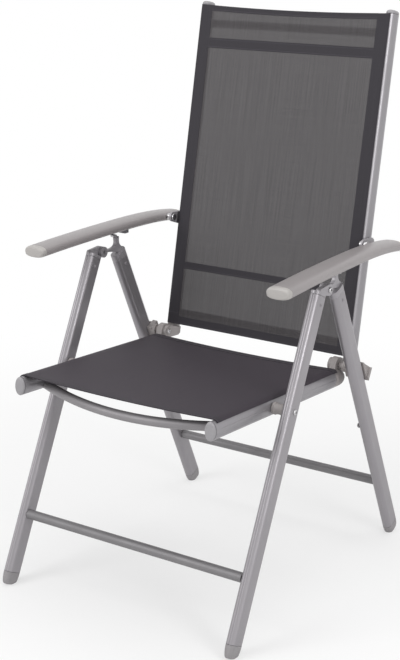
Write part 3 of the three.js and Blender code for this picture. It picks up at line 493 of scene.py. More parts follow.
for body, leg_x, top, place in (("front", FRONT_LEG_X, FRONT_LEG_TOP, front_leg_place),
                                ("rear", REAR_LEG_X, REAR_LEG_TOP, rear_leg_place)):
    for face, out in (("outer", 1), ("inner", -1)):
        face_x = leg_x + out * (LEG_WIDTH / 2 + RIVET_GAP)
        collar = [(face_x + out * rise, RIVET_RADIUS * share) for rise, share in RIVET_COLLAR]
        for side, hand in HANDS:
            rivet = turned(f"{body}_casting_rivet_{face}_{hand}", collar, place, side,
                           RIVET_OFFSET, top - RIVET_BELOW_TOP)
            put_on(rivet, cast_silver, f"{body}_frame", "fastener")

# Seat pivots on the legs
# A moulded spacer keeps each seat rail clear of its front leg, and a screw through both is the pivot.
# The spacer is waisted, with a flange against the rail.
SEAT_PIVOT_Z = 401
SEAT_PIVOT_Y = FRONT_LEG_FOOT_Y + SEAT_PIVOT_Z * tan(radians(FRONT_LEG_LEAN))
SEAT_RAIL_X = 211
SEAT_RAIL_WIDTH, SEAT_RAIL_HEIGHT = 22, 35
SPACER_PROFILE = ((FIT_GAP, 10.8), (0.9, 11.5), (6, 11.5), (7, 10.4), (16, 9.6), (17, 10.4), (22, 10.6),
                  (23.4, 10))  # (out from the rail, radius)
SEAT_SCREW_PAST_RAIL = 2.5
SEAT_HEAD_HEIGHT = 2.5

grey_moulding = moulded("warm grey plastic of the hinges", (0.300, 0.276, 0.272), roughness=0.50, drift=0.2,
                        scuffs=0.3)
seat_pivot_place = leaning(SEAT_PIVOT_Y, SEAT_PIVOT_Z)
rail_outer = SEAT_RAIL_X + SEAT_RAIL_WIDTH / 2
spacer_profile = [(rail_outer + out, radius) for out, radius in SPACER_PROFILE]
for side, hand in HANDS:
    spacer = turned(f"pivot_spacer_{hand}", spacer_profile, seat_pivot_place, side)
    put_on(spacer, grey_moulding, "front_frame", "grey_plastic", f"seat_spacer_{hand}")
    screw = socket_screw(f"seat_pivot_screw_{hand}", SEAT_RAIL_X - SEAT_RAIL_WIDTH / 2 - SEAT_SCREW_PAST_RAIL,
                         FRONT_LEG_X + LEG_WIDTH / 2 + FIT_GAP, SCREW_RADIUS, SCREW_HEAD_RADIUS,
                         SEAT_HEAD_HEIGHT, seat_pivot_place, side)
    put_on(screw, zinc, "front_frame", "fastener", f"seat_pivot_bolt_{hand}")

# Seat rails
# Oval aluminium rails with the cloth over their tops, two drawn grooves on the outer face, and grey caps
# pressed into their front ends. The moulded ears of the hinge close the rear ends.
SEAT_LEAN = 3.92
SEAT_RAIL_FRONT, SEAT_RAIL_REAR = -188, 236
SEAT_RAIL_GROOVES = ((2.5, 0.7), (-7.5, 0.5))
RAIL_GROOVE_SPREAD = 0.8
SEAT_CAP_TIP, SEAT_CAP_DOME, SEAT_CAP_BASE = 0.55, 4, 2.3
SEAT_CAP_NECK, SEAT_CAP_SEAM = 0.93, 1.5


def grooved_oval(width, depth, grooves=(), steps=120):
    """Outline of an oval rail; a groove in its outer face is (place across the depth, depth of the cut)."""
    points = []
    for k in range(steps):
        angle = 2 * pi * k / steps
        px, py = width / 2 * cos(angle), depth / 2 * sin(angle)
        if px > 0:
            for at, cut in grooves:
                px -= cut * exp(-((py - at) / RAIL_GROOVE_SPREAD) ** 2)
        points.append((px, py))
    return points


frame_silver = silver_coat("silver powder coat on the seat and back", (0.298, 0.287, 0.303), metallic=0.52,
                           roughness=0.36)
cap_silver = moulded("silver grey plastic of the rail caps", (0.300, 0.291, 0.304), roughness=0.45,
                     drift=0.08, scuffs=0.15)
seat_place = leaning(SEAT_PIVOT_Y, SEAT_PIVOT_Z, SEAT_LEAN)
seat_outline = grooved_oval(SEAT_RAIL_WIDTH, SEAT_RAIL_HEIGHT, SEAT_RAIL_GROOVES)
plain_oval = grooved_oval(SEAT_RAIL_WIDTH, SEAT_RAIL_HEIGHT)
rail_rings = [[(SEAT_RAIL_X + px, y, py) for px, py in seat_outline]
              for y in (SEAT_RAIL_FRONT, 0, SEAT_RAIL_REAR)]
cap_rings = [[(SEAT_RAIL_X + px * SEAT_CAP_NECK, SEAT_RAIL_FRONT - gap, py * SEAT_CAP_NECK)
              for px, py in plain_oval] for gap in (FIT_GAP, SEAT_CAP_SEAM)]
cap_rings += [[(SEAT_RAIL_X + px, SEAT_RAIL_FRONT - pz, py) for px, py, pz in ring]
              for ring in domed(plain_oval, SEAT_CAP_TIP, SEAT_CAP_DOME, SEAT_CAP_BASE)]
for side, hand in HANDS:
    rail = lofted(f"seat_side_rail_{hand}", rail_rings, seat_place, side)
    put_on(rail, frame_silver, "seat_frame", "frame_tube", f"seat_rail_{hand}")
    cap = lofted(f"seat_rail_end_cap_{hand}", cap_rings, seat_place, side)
    put_on(cap, cap_silver, "seat_frame", "grey_plastic", f"seat_rail_cap_{hand}")
    ear = softened(f"seat_hinge_ear_{hand}", f"hinge_ear_{hand}")
    put_on(ear, grey_moulding, "seat_frame", "grey_plastic", f"hinge_ear_{hand}")

# Cross tubes of the seat
# The front one is bent into a bow that dips below the front hem and clears the sitter's legs.
# The straight rear one hides under the cloth, just in front of the hinges.
BOW_RADIUS = 9
BOW_MIDDLE_Y, BOW_MIDDLE_Z = -163.8, -19.6
BOW_SETBACK, BOW_RISE, BOW_SPAN = 37.3, 10.9, 200
BOW_INSIDE_RAIL = 7.5
BOW_STEPS = 30
SEAT_TUBE_RADIUS, SEAT_TUBE_Y, SEAT_TUBE_Z = 8, 222, -5

rings = []
for i in range(2 * BOW_STEPS + 1):
    x = (i / BOW_STEPS - 1) * (SEAT_RAIL_X - BOW_INSIDE_RAIL)
    share = (x / BOW_SPAN) ** 2
    centre = Vector((x, BOW_MIDDLE_Y + BOW_SETBACK * share, BOW_MIDDLE_Z + BOW_RISE * share))
    run = Vector((1, 2 * x * BOW_SETBACK / BOW_SPAN ** 2, 2 * x * BOW_RISE / BOW_SPAN ** 2)).normalized()
    up = run.cross(Vector((0, 1, 0))).normalized()
    out = up.cross(run)
    angles = [2 * pi * k / TURNED_SIDES for k in range(TURNED_SIDES)]
    rings.append([tuple(centre + BOW_RADIUS * (out * cos(a) + up * sin(a))) for a in angles])
bow = lofted("seat_front_bow", rings, seat_place)
bow_silver = silver_coat("duller silver coat on the bent bow", (0.250, 0.238, 0.248), metallic=0.30,
                         roughness=0.48, lines=0.16)
put_on(bow, bow_silver, "seat_frame", "frame_tube", "seat_front_tube")
tube = cross_tube("seat_rear_cross_tube", SEAT_RAIL_X - SEAT_RAIL_WIDTH / 2 - FIT_GAP, SEAT_TUBE_RADIUS,
                  SEAT_TUBE_Y, SEAT_TUBE_Z, seat_place)
put_on(tube, frame_silver, "seat_frame", "frame_tube", "seat_rear_tube")

# Seat cloth
# Coated polyester mesh, stretched over both rails and held in their slots. It hangs a little between
# them, and its front and rear edges are turned under and sewn with two rows of stitches.
SEAT_CLOTH_FRONT, SEAT_CLOTH_REAR = -181, 243
SEAT_CLOTH_HALF_WIDTH = 219
SEAT_SAG = 9
CLOTH_THICKNESS, CLOTH_LIFT, CLOTH_REST = 0.9, 1.5, 8
CLOTH_EDGE_ANGLE = 60
SAG_END_SHARE = 0.15
SEAT_HEM, SEAT_HEM_THICKNESS = 16, 2.0
HEM_PROUD, HEM_WIDER = 0.4, 0.2
CLOTH_COLUMNS, SEAT_CLOTH_ROWS, SEAT_HEM_ROWS = 96, 60, 6
HALF_STEP = 0.5


def over_rail(x, rail_x, width, depth):
    """How far the cloth stands out of the rail's middle where it lies on the rail or beyond it."""
    beyond = max(0, abs(x) - rail_x) / (width / 2 + CLOTH_LIFT)
    return (depth / 2 + CLOTH_LIFT) * sqrt(max(0, 1 - beyond ** 2))


def sag(amount, x, rail_x, share):
    """How far the cloth hangs in between the rails; share runs from one end of the cloth to the other."""
    spread = min(1, abs(x) / (rail_x - CLOTH_REST))
    return amount * sin(pi * (SAG_END_SHARE + (1 - 2 * SAG_END_SHARE) * share)) * (1 - spread ** 2)


def cloth(name, surface, across, along, thickness, place):
    """A thin closed sheet; surface(x, v) gives a point in the piece's frame. Its UV layer holds metres."""
    shape = bmesh.new()
    flat_uv = shape.loops.layers.uv.new("flat")
    columns, rows = len(across), len(along)
    layers = []
    for lift in (thickness / 2, -thickness / 2):
        grid = [[None] * columns for _ in range(rows)]
        for r, v in enumerate(along):
            for c, x in enumerate(across):
                here = Vector(surface(x, v))
                step_x = Vector(surface(x + HALF_STEP, v)) - Vector(surface(x - HALF_STEP, v))
                step_v = Vector(surface(x, v + HALF_STEP)) - Vector(surface(x, v - HALF_STEP))
                grid[r][c] = shape.verts.new(place @ (here + step_x.cross(step_v).normalized() * lift))
        layers.append(grid)
    places = {}
    for grid in layers:
        for r in range(rows):
            for c in range(columns):
                places[grid[r][c]] = ((across[c] - across[0]) * MM, (along[r] - along[0]) * MM)
        for r in range(rows - 1):
            for c in range(columns - 1):
                shape.faces.new((grid[r][c], grid[r][c + 1], grid[r + 1][c + 1], grid[r + 1][c]))
    front, rear = layers
    rim = ([(0, c) for c in range(columns)] + [(r, columns - 1) for r in range(1, rows)]
           + [(rows - 1, c) for c in range(columns - 2, -1, -1)] + [(r, 0) for r in range(rows - 2, 0, -1)])
    for (r1, c1), (r2, c2) in zip(rim, rim[1:] + rim[:1]):
        shape.faces.new((front[r1][c1], front[r2][c2], rear[r2][c2], rear[r1][c1]))
    for face in shape.faces:
        for loop in face.loops:
            loop[flat_uv].uv = places[loop.vert]
    bmesh.ops.recalc_face_normals(shape, faces=shape.faces)
    return made_from(shape, name, CLOTH_EDGE_ANGLE)


def spaced(low, high, count):
    return [low + (high - low) * i / count for i in range(count + 1)]


def flat_place(tree):
    """The place on the flat cloth in metres: as a vector, across, and along."""
    place = uv_place(tree, "flat")
    parts = new_node(tree, "SeparateXYZ", {0: place}).outputs
    return place, parts[0], parts[1]


# Plain weave of coated threads: raised threads, open corners between them, and slubs along both ways. Its
# tone is painted shade: darker in the hollows between the threads, lighter on their crowns
WEAVE_PITCH = 1.2 * MM
THREAD_DIP = 0.35
# Painted shade of the weave: how much lighter the thread crowns are than the shaded hollows between them
SHADE_ACROSS_WEAVE, SHADED_HOLLOW_TONE = 0.3, 0.78
CROSS_SLUBS = 0.3

woven_mesh, weave_in, weave_out = new_effect(
    "woven mesh", {"Pitch": WEAVE_PITCH, "Slubs": 0.2}, ("Tone", "Open", "Height"))
weave_math = partial(calculate, woven_mesh)
weave_place, *weave_ways = flat_place(woven_mesh)
waves = []
for way in weave_ways:
    turns = weave_math("DIVIDE", way, weave_in["Pitch"])
    waves.append(weave_math("SINE", weave_math("MULTIPLY", turns, pi)))
warp, weft = (weave_math("ABSOLUTE", wave) for wave in waves)
warp_above = weave_math("GREATER_THAN", weave_math("MULTIPLY", *waves), 0.0)
dip = weave_math("MULTIPLY", warp_above, THREAD_DIP)
warp_height = weave_math("MULTIPLY", warp, weave_math("ADD", dip, 1 - THREAD_DIP))
weft_height = weave_math("MULTIPLY", weft, weave_math("SUBTRACT", 1.0, dip))
thread_height = weave_math("MAXIMUM", warp_height, weft_height)
corner_gap = weave_math("MULTIPLY", weave_math("SUBTRACT", 1.0, warp), weave_math("SUBTRACT", 1.0, weft))
along_warp, along_weft = (stretched(woven_mesh, weave_place, scales) for scales in ((420, 5, 1), (6, 380, 1)))
long_slub = noise_at(woven_mesh, along_warp, scale=1.0, detail=3.0, roughness=0.6)
cross_slub = weave_math("MULTIPLY", noise_at(woven_mesh, along_weft, scale=1.0), CROSS_SLUBS)
slub_swing = weave_math("SUBTRACT", weave_math("ADD", long_slub, cross_slub), 0.5 + 0.5 * CROSS_SLUBS)
slub_tone = weave_math("MULTIPLY", slub_swing, weave_in["Slubs"])
# Painted shade: the tone rises with the thread's height, so the hollows between the threads stay darker
painted_weave_shade = weave_math("MULTIPLY", thread_height, SHADE_ACROSS_WEAVE)
feed(woven_mesh, weave_out, {
    "Tone": weave_math("ADD", painted_weave_shade, weave_math("ADD", slub_tone, SHADED_HOLLOW_TONE)), "Open": corner_gap,
    "Height": weave_math("ADD", thread_height, slub_tone)})

# Two rows of lockstitches near both edges of a hem: short raised dashes, a little lighter than the cloth
THREAD_HALF = 0.35 * MM
STITCH_SHARE = 0.78

stitch_rows, stitch_in, stitch_out = new_effect(
    "stitch rows", {"Width": 16 * MM, "Inset": 2.5 * MM, "Length": 3.5 * MM}, ("Thread",))
stitch_math = partial(calculate, stitch_rows)
stitch_across, stitch_along = flat_place(stitch_rows)[1:]
hem_middle = stitch_math("MULTIPLY", stitch_in["Width"], 0.5)
from_middle = stitch_math("ABSOLUTE", stitch_math("SUBTRACT", stitch_along, hem_middle))
row_place = stitch_math("SUBTRACT", hem_middle, stitch_in["Inset"])
off_row = stitch_math("ABSOLUTE", stitch_math("SUBTRACT", from_middle, row_place))
stitch_turn = stitch_math("FRACT", stitch_math("DIVIDE", stitch_across, stitch_in["Length"]))
in_row = stitch_math("LESS_THAN", off_row, THREAD_HALF)
in_stitch = stitch_math("LESS_THAN", stitch_turn, STITCH_SHARE)
feed(stitch_rows, stitch_out, {"Thread": stitch_math("MULTIPLY", in_row, in_stitch)})

STITCH_LIGHTER, STITCH_HEIGHT = 1.9, 1.5
THREAD_GLOSS, CLOTH_SPECULAR = 0.12, 0.25
CLOTH_BUMP, CLOTH_BUMP_DEPTH = 0.25, 0.3 * MM


def mixed(tree, amount, first, second):
    """A Mix node for colours, whose two colours are its sockets 6 and 7."""
    return new_node(tree, "Mix", {0: amount, 6: first, 7: second}, data_type="RGBA").outputs[2]


def mesh_cloth(name, colour, roughness, opening=0.0, see_through=0.0, slubs=0.25, hem_width=0.0):
    """Coated mesh; opening lets light through at the corners of the weave, and see_through all over."""
    material, tree, shader = new_material(name)
    weave = place_effect(tree, woven_mesh, Slubs=slubs)
    # The weave's tone carries its slubs and the painted shade in its hollows
    cloth_colour, cloth_height = tinted(tree, weave["Tone"], colour), weave["Height"]
    if hem_width:
        thread = place_effect(tree, stitch_rows, Width=hem_width * MM)["Thread"]
        thread_colour = (*(STITCH_LIGHTER * part for part in colour), 1)
        cloth_colour = mixed(tree, thread, cloth_colour, thread_colour)
        raised = calculate(tree, "MULTIPLY", thread, STITCH_HEIGHT)
        cloth_height = calculate(tree, "ADD", cloth_height, raised)
    polish = calculate(tree, "MULTIPLY", weave["Height"], THREAD_GLOSS)
    feed(tree, shader.inputs, {
        "Base Color": cloth_colour, "Roughness": calculate(tree, "SUBTRACT", roughness, polish),
        "Normal": bumped(tree, cloth_height, CLOTH_BUMP, CLOTH_BUMP_DEPTH),
        "Specular IOR Level": CLOTH_SPECULAR})
    if opening:
        holes = calculate(tree, "MULTIPLY", weave["Open"], opening)
        feed(tree, shader.inputs, {"Alpha": calculate(tree, "SUBTRACT", 1 - see_through, holes)})
    return material


seat_charcoal = mesh_cloth("charcoal mesh of the seat", (0.0455, 0.0380, 0.0470), roughness=0.72,
                           opening=0.08)
seat_hem_charcoal = mesh_cloth("doubled charcoal mesh of the seat hems", (0.040, 0.035, 0.042),
                               roughness=0.74, hem_width=SEAT_HEM)


def seat_surface(x, v):
    """A point of the seat cloth; v is its place along the rails."""
    share = (SEAT_CLOTH_REAR - v) / (SEAT_CLOTH_REAR - SEAT_CLOTH_FRONT)
    height = over_rail(x, SEAT_RAIL_X, SEAT_RAIL_WIDTH, SEAT_RAIL_HEIGHT)
    return x, v, height - sag(SEAT_SAG, x, SEAT_RAIL_X, share)


across = spaced(-SEAT_CLOTH_HALF_WIDTH, SEAT_CLOTH_HALF_WIDTH, CLOTH_COLUMNS)
along = spaced(SEAT_CLOTH_FRONT, SEAT_CLOTH_REAR, SEAT_CLOTH_ROWS)
seat_cloth = cloth("seat_cloth", seat_surface, across, along, CLOTH_THICKNESS, seat_place)
put_on(seat_cloth, seat_charcoal, "seat_frame", "seat_mesh", "seat_fabric")
hem_half_width = SEAT_CLOTH_HALF_WIDTH + HEM_WIDER
for name, low in (("seat_front_hem", SEAT_CLOTH_FRONT - HEM_PROUD),
                  ("seat_rear_hem", SEAT_CLOTH_REAR - SEAT_HEM + HEM_PROUD)):
    hem = cloth(name, seat_surface, spaced(-hem_half_width, hem_half_width, CLOTH_COLUMNS),
                spaced(low, low + SEAT_HEM, SEAT_HEM_ROWS), SEAT_HEM_THICKNESS, seat_place)
    put_on(hem, seat_hem_charcoal, "seat_frame", "seat_mesh")

# Saddles and hinges
# Moulded saddles slide on the backs of the rear legs. A long bolt joins each saddle, the seat's ear and
# the back's block, and its head sits in a rosette on the block's inner face.
HINGE_Y, HINGE_Z = 143, 407
BACK_LEAN = 11.6
BLOCK_INNER_X = 193
MOULDED_EDGE = 1.0
ROSETTE_PROFILE = ((-0.4, 8.2), (0.9, 8.0), (1.5, 7.4), (1.5, 6.4), (0.9, 5.9), (-0.4, 5.8))  # (out, radius)
HINGE_BOLT_INSIDE_LEG = 5.7
HINGE_BOLT_RADIUS, HINGE_HEAD_RADIUS, HINGE_HEAD_HEIGHT = 4, 4.9, 2

hinge_place = leaning(HINGE_Y, HINGE_Z, BACK_LEAN)
rosette_profile = [(BLOCK_INNER_X - out, radius) for out, radius in ROSETTE_PROFILE]
for side, hand in HANDS:
    saddle = softened(f"leg_saddle_moulding_{hand}", f"leg_saddle_{hand}", MOULDED_EDGE)
    put_on(saddle, grey_moulding, "leg_saddles", "grey_plastic", f"leg_saddle_{hand}")
    block = softened(f"back_hinge_block_{hand}", f"hinge_block_{hand}", MOULDED_EDGE)
    put_on(block, grey_moulding, "back_frame", "grey_plastic", f"hinge_block_{hand}")
    rosette = turned(f"hinge_rosette_{hand}", rosette_profile, hinge_place, side)
    put_on(rosette, grey_moulding, "back_frame", "grey_plastic")
    bolt = socket_screw(f"hinge_screw_{hand}", REAR_LEG_X - LEG_WIDTH / 2 - HINGE_BOLT_INSIDE_LEG,
                        BLOCK_INNER_X - FIT_GAP, HINGE_BOLT_RADIUS, HINGE_HEAD_RADIUS, HINGE_HEAD_HEIGHT,
                        hinge_place, side)
    put_on(bolt, zinc, "hinge_bolts", "fastener", f"hinge_bolt_{hand}")

# Back rails
# The same oval tube stands on the hinge blocks. Grey domed caps close its tops, and the cloth covers its
# front, so only the outer face with its two grooves shows from the side.
BACK_RAIL_X = 212
BACK_RAIL_WIDTH, BACK_RAIL_DEPTH = 22, 34
BACK_RAIL_SETBACK = 44.5
BACK_RAIL_BOTTOM, BACK_RAIL_TOP = 22.5, 684
BACK_RAIL_GROOVES = ((-2.5, 0.7), (8.0, 0.5))
BACK_CAP_TIP, BACK_CAP_DOME, BACK_CAP_BASE = 0.3, 5.5, 1.8
BACK_TUBE_RADIUS = 8.5
BACK_TOP_TUBE_Z, BACK_LOWER_TUBE_Z = 647, 38

back_outline = grooved_oval(BACK_RAIL_WIDTH, BACK_RAIL_DEPTH, BACK_RAIL_GROOVES)
back_plain = grooved_oval(BACK_RAIL_WIDTH, BACK_RAIL_DEPTH)
back_dome = domed(back_plain, BACK_CAP_TIP, BACK_CAP_DOME, BACK_RAIL_TOP + BACK_CAP_BASE)
cap_rings = [[(BACK_RAIL_X + px, BACK_RAIL_SETBACK + py, BACK_RAIL_TOP + FIT_GAP) for px, py in back_plain]]
cap_rings += [[(BACK_RAIL_X + px, BACK_RAIL_SETBACK + py, pz) for px, py, pz in ring] for ring in back_dome]
for side, hand in HANDS:
    rail = straight_tube(f"back_side_rail_{hand}", back_outline, BACK_RAIL_X, BACK_RAIL_SETBACK,
                         BACK_RAIL_BOTTOM, BACK_RAIL_TOP, hinge_place, side)
    put_on(rail, frame_silver, "back_frame", "frame_tube", f"back_rail_{hand}")
    cap = lofted(f"back_rail_top_cap_{hand}", cap_rings, hinge_place, side)
    put_on(cap, cap_silver, "back_frame", "grey_plastic", f"back_rail_cap_{hand}")
for end, z in (("top", BACK_TOP_TUBE_Z), ("lower", BACK_LOWER_TUBE_Z)):
    tube = cross_tube(f"back_{end}_cross_tube", BACK_RAIL_X - BACK_RAIL_WIDTH / 2 - FIT_GAP, BACK_TUBE_RADIUS,
                      BACK_RAIL_SETBACK, z, hinge_place)
    put_on(tube, frame_silver, "back_frame", "frame_tube", f"back_{end}_tube")

# Back cloth
# A tall panel of the same mesh, thin enough to show the top cross tube behind it. It is doubled along
# both rails and both ends, and two sewn bands run across it. The top edge dips between the rails.
BACK_CLOTH_BOTTOM, BACK_CLOTH_TOP = 15.5, 683
BACK_CLOTH_HALF_WIDTH = 216
BACK_CLOTH_ROWS = 90
BACK_SAG, BACK_DIP = 5, 4.5
SIDE_HEM_INNER = 190
SIDE_HEM_THICKNESS, SIDE_HEM_COLUMNS, SIDE_HEM_ROWS = 1.9, 14, 60
BAND_OVERLAP = 1
BAND_THICKNESS, BAND_COLUMNS, BAND_ROWS = 1.8, 72, 4
TOP_HEM, UPPER_BAND, LOWER_BAND, BOTTOM_HEM = (672, 683.4), (595.5, 616), (134, 148.5), (15.2, 32)
BACK_COLOUR, BACK_DOUBLED_COLOUR = (0.0745, 0.0690, 0.0725), (0.033, 0.030, 0.036)

back_mesh = mesh_cloth("see-through mesh of the back", BACK_COLOUR, roughness=0.72, opening=0.30,
                       see_through=0.17, slubs=0.85)
back_hem_mesh = mesh_cloth("doubled mesh of the back hems", BACK_DOUBLED_COLOUR, roughness=0.74,
                           hem_width=26)
back_band_mesh = mesh_cloth("doubled mesh of the back bands", BACK_DOUBLED_COLOUR, roughness=0.74,
                            hem_width=20)


def back_surface(x, v):
    """A point of the back cloth; v is its place up the rails."""
    share = (v - BACK_CLOTH_BOTTOM) / (BACK_CLOTH_TOP - BACK_CLOTH_BOTTOM)
    dip = BACK_DIP * max(0, share) ** 2 * (1 - (x / BACK_CLOTH_HALF_WIDTH) ** 2)
    y = (BACK_RAIL_SETBACK - over_rail(x, BACK_RAIL_X, BACK_RAIL_WIDTH, BACK_RAIL_DEPTH)
         + sag(BACK_SAG, x, BACK_RAIL_X, share))
    return x, y, v - dip


def straight_band(x, v):
    """The bands across the back are sewn on straight, so they don't follow the dip of the top edge."""
    return x, back_surface(x, v)[1], v


across = spaced(-BACK_CLOTH_HALF_WIDTH, BACK_CLOTH_HALF_WIDTH, CLOTH_COLUMNS)
along = spaced(BACK_CLOTH_BOTTOM, BACK_CLOTH_TOP, BACK_CLOTH_ROWS)
back_cloth = cloth("back_cloth", back_surface, across, along, CLOTH_THICKNESS, hinge_place)
put_on(back_cloth, back_mesh, "back_frame", "back_mesh", "back_fabric")
band_half_width = SIDE_HEM_INNER + BAND_OVERLAP
for name, surface, ends in (
        ("top_hem", back_surface, TOP_HEM), ("upper_band", straight_band, UPPER_BAND),
        ("lower_band", straight_band, LOWER_BAND), ("bottom_hem", back_surface, BOTTOM_HEM)):
    band = cloth(f"back_{name}", surface, spaced(-band_half_width, band_half_width, BAND_COLUMNS),
                 spaced(*ends, BAND_ROWS), BAND_THICKNESS, hinge_place)
    put_on(band, back_band_mesh, "back_frame", "back_mesh")
for side, hand in HANDS:
    edges = sorted((side * SIDE_HEM_INNER, side * (BACK_CLOTH_HALF_WIDTH + HEM_WIDER)))
    strip = cloth(f"back_side_hem_{hand}", back_surface, spaced(*edges, SIDE_HEM_COLUMNS),
                  spaced(BACK_CLOTH_BOTTOM - HEM_WIDER, BACK_CLOTH_TOP + HEM_WIDER, SIDE_HEM_ROWS),
                  SIDE_HEM_THICKNESS, hinge_place)
    put_on(strip, back_hem_mesh, "back_frame", "back_mesh")

# Armrest brackets
# Small castings on the outer faces of the back rails, with a steel bolt that carries the armrest's rear.
# Two collars on the bolt keep the armrest off the bracket.
for side, hand in HANDS:
    bracket = softened(f"armrest_bracket_{hand}", f"arm_bracket_{hand}", edge=0.8)
    put_on(bracket, cast_silver, "back_frame", "joint_casting", f"arm_bracket_{hand}")
    bolt = softened(f"armrest_bolt_{hand}", f"arm_bolt_{hand}", edge=0.6)
    put_on(bolt, zinc, f"arm_bolt_{hand}", "fastener", f"arm_bolt_{hand}")

# Armrests
# Crowned bars of satin grey plastic with a parting line round their sides, a separate cap at each end,
# and a notched rail in a channel below that sets how far the back leans.
ARM_PIVOT_Y, ARM_PIVOT_Z = 205, 638
ARM_WIDTH, ARM_THICKNESS, ARM_POWER = 50, 22, 2.5
ARM_FRONT, ARM_REAR = -400, 63
ARM_SIDES, ARM_STEPS = 144, 72
ARM_TOE = radians(1.2)
ARM_INNER_X = 235.5
ARM_CROWN_Y, ARM_CROWN_Z = -165, 3.2
ARM_FRONT_DROP, ARM_REAR_DROP = 4.3, 12.9
ARM_CAP, ARM_CAP_STEPS = 14, 14
ARM_TIP, ARM_TAPER, ARM_TAPER_POWER = 0.68, 3, 2.2
ARM_SEAM_INSET, ARM_SEAM_LENGTH = 0.4, 0.7
PARTING_DEPTH, PARTING_DROP, PARTING_WIDTH = 0.5, 4.5, 0.5
LIP_REACH, LIP_SOFTNESS = 1.3, 0.3
CHANNEL_MIDDLE, CHANNEL_WIDTH = 20, 22
CHANNEL_FRONT, CHANNEL_REAR = -320, -124
CHANNEL_CEILING = -3.2


def toed(x, y, z):
    """Place of a point of the armrest, which toes out a little towards its front."""
    return (ARM_INNER_X + x * cos(ARM_TOE) - y * sin(ARM_TOE),
            x * sin(ARM_TOE) + y * cos(ARM_TOE), z)


def squarish(part, half):
    """One coordinate of a squarish oval, from the cosine or sine of its angle."""
    return copysign(abs(part) ** (2 / ARM_POWER), part) * half


def arm_ring(y, inset=0.0):
    """Section of the armrest at a place along it: squarish oval, narrower towards both ends."""
    away = y - ARM_CROWN_Y
    drop = (ARM_FRONT_DROP * (away / (ARM_FRONT - ARM_CROWN_Y)) ** 2 if away < 0
            else ARM_REAR_DROP * (away / (ARM_REAR - ARM_CROWN_Y)) ** 3)
    from_end = max(0.0, min(y - ARM_FRONT, ARM_REAR - y, ARM_CAP)) / ARM_CAP
    share = ARM_TIP + (1 - ARM_TIP) * (1 - (1 - from_end) ** ARM_TAPER) ** (1 / ARM_TAPER_POWER)
    ring = []
    for k in range(ARM_SIDES):
        angle = 2 * pi * k / ARM_SIDES
        px = squarish(cos(angle), ARM_WIDTH / 2 * share - inset)
        pz = squarish(sin(angle), ARM_THICKNESS / 2 * share - inset)
        dent = PARTING_DEPTH * exp(-((pz + PARTING_DROP) / PARTING_WIDTH) ** 2)
        above_lip = 1 / (1 + exp(-(pz + PARTING_DROP) / LIP_SOFTNESS))
        px = px * (1 - LIP_REACH / (ARM_WIDTH / 2) * above_lip) - copysign(dent, px)
        ring.append(toed(px + ARM_WIDTH / 2, y, pz + ARM_CROWN_Z - drop))
    return ring


def channelled(bar, side):
    """The bar with the channel of its notched rail cut into the underside."""
    low, high = CHANNEL_MIDDLE - CHANNEL_WIDTH / 2, CHANNEL_MIDDLE + CHANNEL_WIDTH / 2
    outline = ((low, -ARM_THICKNESS), (high, -ARM_THICKNESS), (high, CHANNEL_CEILING), (low, CHANNEL_CEILING))
    rings = [[toed(x, y, z) for x, z in outline] for y in (CHANNEL_FRONT, CHANNEL_REAR)]
    cutter = lofted("channel_cutter", rings, arm_place, side)
    cut = bar.modifiers.new("channel", "BOOLEAN")
    cut.operation, cut.solver, cut.object = "DIFFERENCE", "EXACT", cutter
    mesh = bpy.data.meshes.new_from_object(bar.evaluated_get(bpy.context.evaluated_depsgraph_get()))
    bar.modifiers.clear()
    bar.data = shaded(mesh)
    bpy.data.objects.remove(cutter)
    return bar


arm_plastic = moulded("satin grey plastic of the armrests", (0.285, 0.264, 0.266), roughness=0.33, grain=1100,
                      drift=0.06, scuffs=0.10, bump=0.10)
cap_plastic = moulded("grey plastic of the armrest caps", (0.40, 0.382, 0.368), roughness=0.40, grain=1100,
                      drift=0.06, scuffs=0.12, bump=0.10)
notch_plastic = moulded("dark grey plastic of the notched rails", (0.16, 0.155, 0.165), roughness=0.55)
arm_place = leaning(ARM_PIVOT_Y, ARM_PIVOT_Z)
bar_front, bar_rear = ARM_FRONT + ARM_CAP, ARM_REAR - ARM_CAP
bar_rings = [arm_ring(bar_front + FIT_GAP, ARM_SEAM_INSET)]
bar_rings += [arm_ring(y) for y in spaced(bar_front + ARM_SEAM_LENGTH, bar_rear - ARM_SEAM_LENGTH, ARM_STEPS)]
bar_rings.append(arm_ring(bar_rear - FIT_GAP, ARM_SEAM_INSET))
for side, hand in HANDS:
    bar = channelled(lofted(f"armrest_bar_{hand}", bar_rings, arm_place, side), side)
    put_on(bar, arm_plastic, f"arm_{hand}", "armrest_plastic", f"armrest_{hand}")
    for end, seam, way in (("front", bar_front, -1), ("rear", bar_rear, 1)):
        cap_rings = [arm_ring(seam, ARM_SEAM_INSET)]
        cap_rings += [arm_ring(seam + way * ARM_CAP * sin(pi / 2 * i / ARM_CAP_STEPS))
                      for i in range(1, ARM_CAP_STEPS + 1)]
        cap = lofted(f"armrest_{end}_end_{hand}", cap_rings, arm_place, side)
        put_on(cap, cap_plastic, f"arm_{hand}", "armrest_plastic", f"armrest_{end}_cap_{hand}")
    notches = softened(f"notched_rail_{hand}", f"notch_rail_{hand}", edge=0.3)
    put_on(notches, notch_plastic, f"arm_{hand}", "foot_plastic", f"notch_rail_{hand}")

# Floor, lights and camera
# A plain pale floor that fades into a white room and keeps the chair's soft shadow.
# One broad lamp to the front left, a weaker one to the right and one overhead, as in a product studio.
FLOOR_HALF = 30
FLOOR_WHITE = (0.90, 0.90, 0.90, 1)
FLOOR_CORNERS = ((-1, -1), (1, -1), (1, 1), (-1, 1))
FLOOR_FADE = {"From Min": 0.45, "From Max": 1.6, "To Min": 0.55, "To Max": 1.0}
ROOM_LEVEL = 0.55
CAMERA_PLACE = (1.46246, -2.21321, 1.28894)
CAMERA_TILT, CAMERA_TURN = 15.8073, 33.5425


